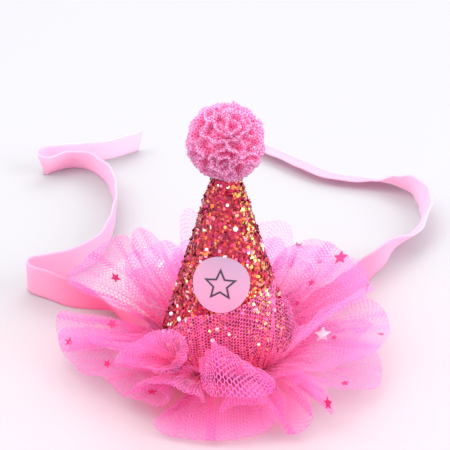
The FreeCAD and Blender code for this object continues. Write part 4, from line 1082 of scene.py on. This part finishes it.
# more stars on the folds round the sides and the back
for k in range(13):
    a = math.radians(10 + 160 * (k + 0.5) / 13 + rs.uniform(-5, 5))
    drop = rs.uniform(0.10, 0.55)
    o = Vector((math.cos(a) * 0.16, math.sin(a) * 0.16, 0.014 + 0.11 * drop))
    way = Vector((-math.cos(a), -math.sin(a), -drop)).normalized()
    h = on_tulle(o, way)
    if h is None:
        continue
    n_ = h[1] if h[1].dot(way) < 0 else -h[1]
    (silver_places if k in (4, 9) else pink_places).append((h[0] + n_ * 0.5 * MM, n_, rs.uniform(0, 6.28), rs.uniform(1.9, 3.0), 0))
foil_pink = metal("foil_pink", (0.70, 0.035, 0.19), 0.38, 0.45, 0.05)
foil_silver = plain("foil_silver", (0.70, 0.66, 0.71), 0.34, 0.0, 0.2, 1400.0, 0.9)
for n_ in foil_silver.node_tree.nodes:
    if n_.type == "BSDF_PRINCIPLED":
        n_.inputs["Metallic"].default_value = 0.75
star_mesh("star_sequins_pink_foil", pink_places, [foil_pink], "star_sequins_pink")
star_mesh("star_sequins_silver_foil", silver_places, [foil_silver], "star_sequins_silver")


# ------------------------------------------------------------------ floor, light
def floor():
    me = bpy.data.meshes.new("floor")
    S = 6.0
    me.from_pydata([(-S, -S, 0), (S, -S, 0), (S, S, 0), (-S, S, 0)], [], [(0, 1, 2, 3)])
    N = Nodes("floor")
    pr = N.n("BsdfPrincipled")
    # painted light: the pink glow of light come down through the net is painted into the table's colour round the foot,
    # lightening the shade there
    tc = N.n("TexCoord")
    away = N.vmath("LENGTH", N.vmath("SUBTRACT", N.vmath("MULTIPLY", tc.outputs["Object"], (1.0, 1.0, 0.0)), (0.0, -0.02, 0.0)))
    painted_glow = N.n("MapRange", interpolation_type="SMOOTHERSTEP", clamp=True)
    N.l(away, painted_glow.inputs[0])
    painted_glow.inputs[1].default_value, painted_glow.inputs[2].default_value = 0.040, 0.165
    painted_glow.inputs[3].default_value, painted_glow.inputs[4].default_value = 1.0, 0.0
    # painted light: right under the net the table is painted deep pink, as the glow of the layered net
    deep = N.n("MapRange", interpolation_type="SMOOTHERSTEP", clamp=True)
    N.l(away, deep.inputs[0])
    deep.inputs[1].default_value, deep.inputs[2].default_value = 0.026, 0.048
    deep.inputs[3].default_value, deep.inputs[4].default_value = 1.0, 0.0
    painted_glow_colour = N.mix(painted_glow.outputs[0], (0.436, 0.436, 0.443), (0.538, 0.434, 0.459))
    N.l(N.mix(deep.outputs[0], painted_glow_colour, (0.80, 0.30, 0.42)), pr.inputs["Base Color"])
    pr.inputs["Roughness"].default_value = 0.75
    pr.inputs["Specular IOR Level"].default_value = 0.1
    N.l(pr.outputs[0], N.out.inputs[0])
    me.materials.append(N.mat)
    ob = link("floor", me)
    ob.location.z = -0.0002
    return ob


def area(name, loc, aim, size, power, colour=(1, 1, 1), size_y=None):
    d = bpy.data.lights.new(name, "AREA")
    d.shape = "RECTANGLE"
    d.size, d.size_y = size, size_y or size
    d.energy = power
    d.color = colour
    o = bpy.data.objects.new(name, d)
    o.location = loc
    o.rotation_euler = (Vector(aim) - Vector(loc)).to_track_quat("-Z", "Y").to_euler()
    scene.collection.objects.link(o)
    return o


fl = floor()
world = bpy.data.worlds.new("world")
world.use_nodes = True
bg = world.node_tree.nodes.get("Background") or world.node_tree.nodes.new("ShaderNodeBackground")
bg.inputs[0].default_value = (0.965, 0.955, 1.0, 1)
bg.inputs[1].default_value = 1.36
scene.world = world
area("key", (-0.50, -0.12, 1.10), (0, 0.02, 0.03), 0.9, 7.5, (1.0, 0.985, 0.98))
area("back", (0.05, 1.05, 0.95), (0, 0.05, 0.02), 1.2, 8.0, (0.99, 0.97, 1.0), 0.8)
area("right", (0.85, -0.25, 0.6), (0, 0, 0.04), 0.6, 6.0, (0.97, 0.95, 1.0))
scene.view_settings.view_transform = "Standard"
scene.view_settings.look = "None"
scene.view_settings.exposure = 0.0
scene.view_settings.gamma = 1.0
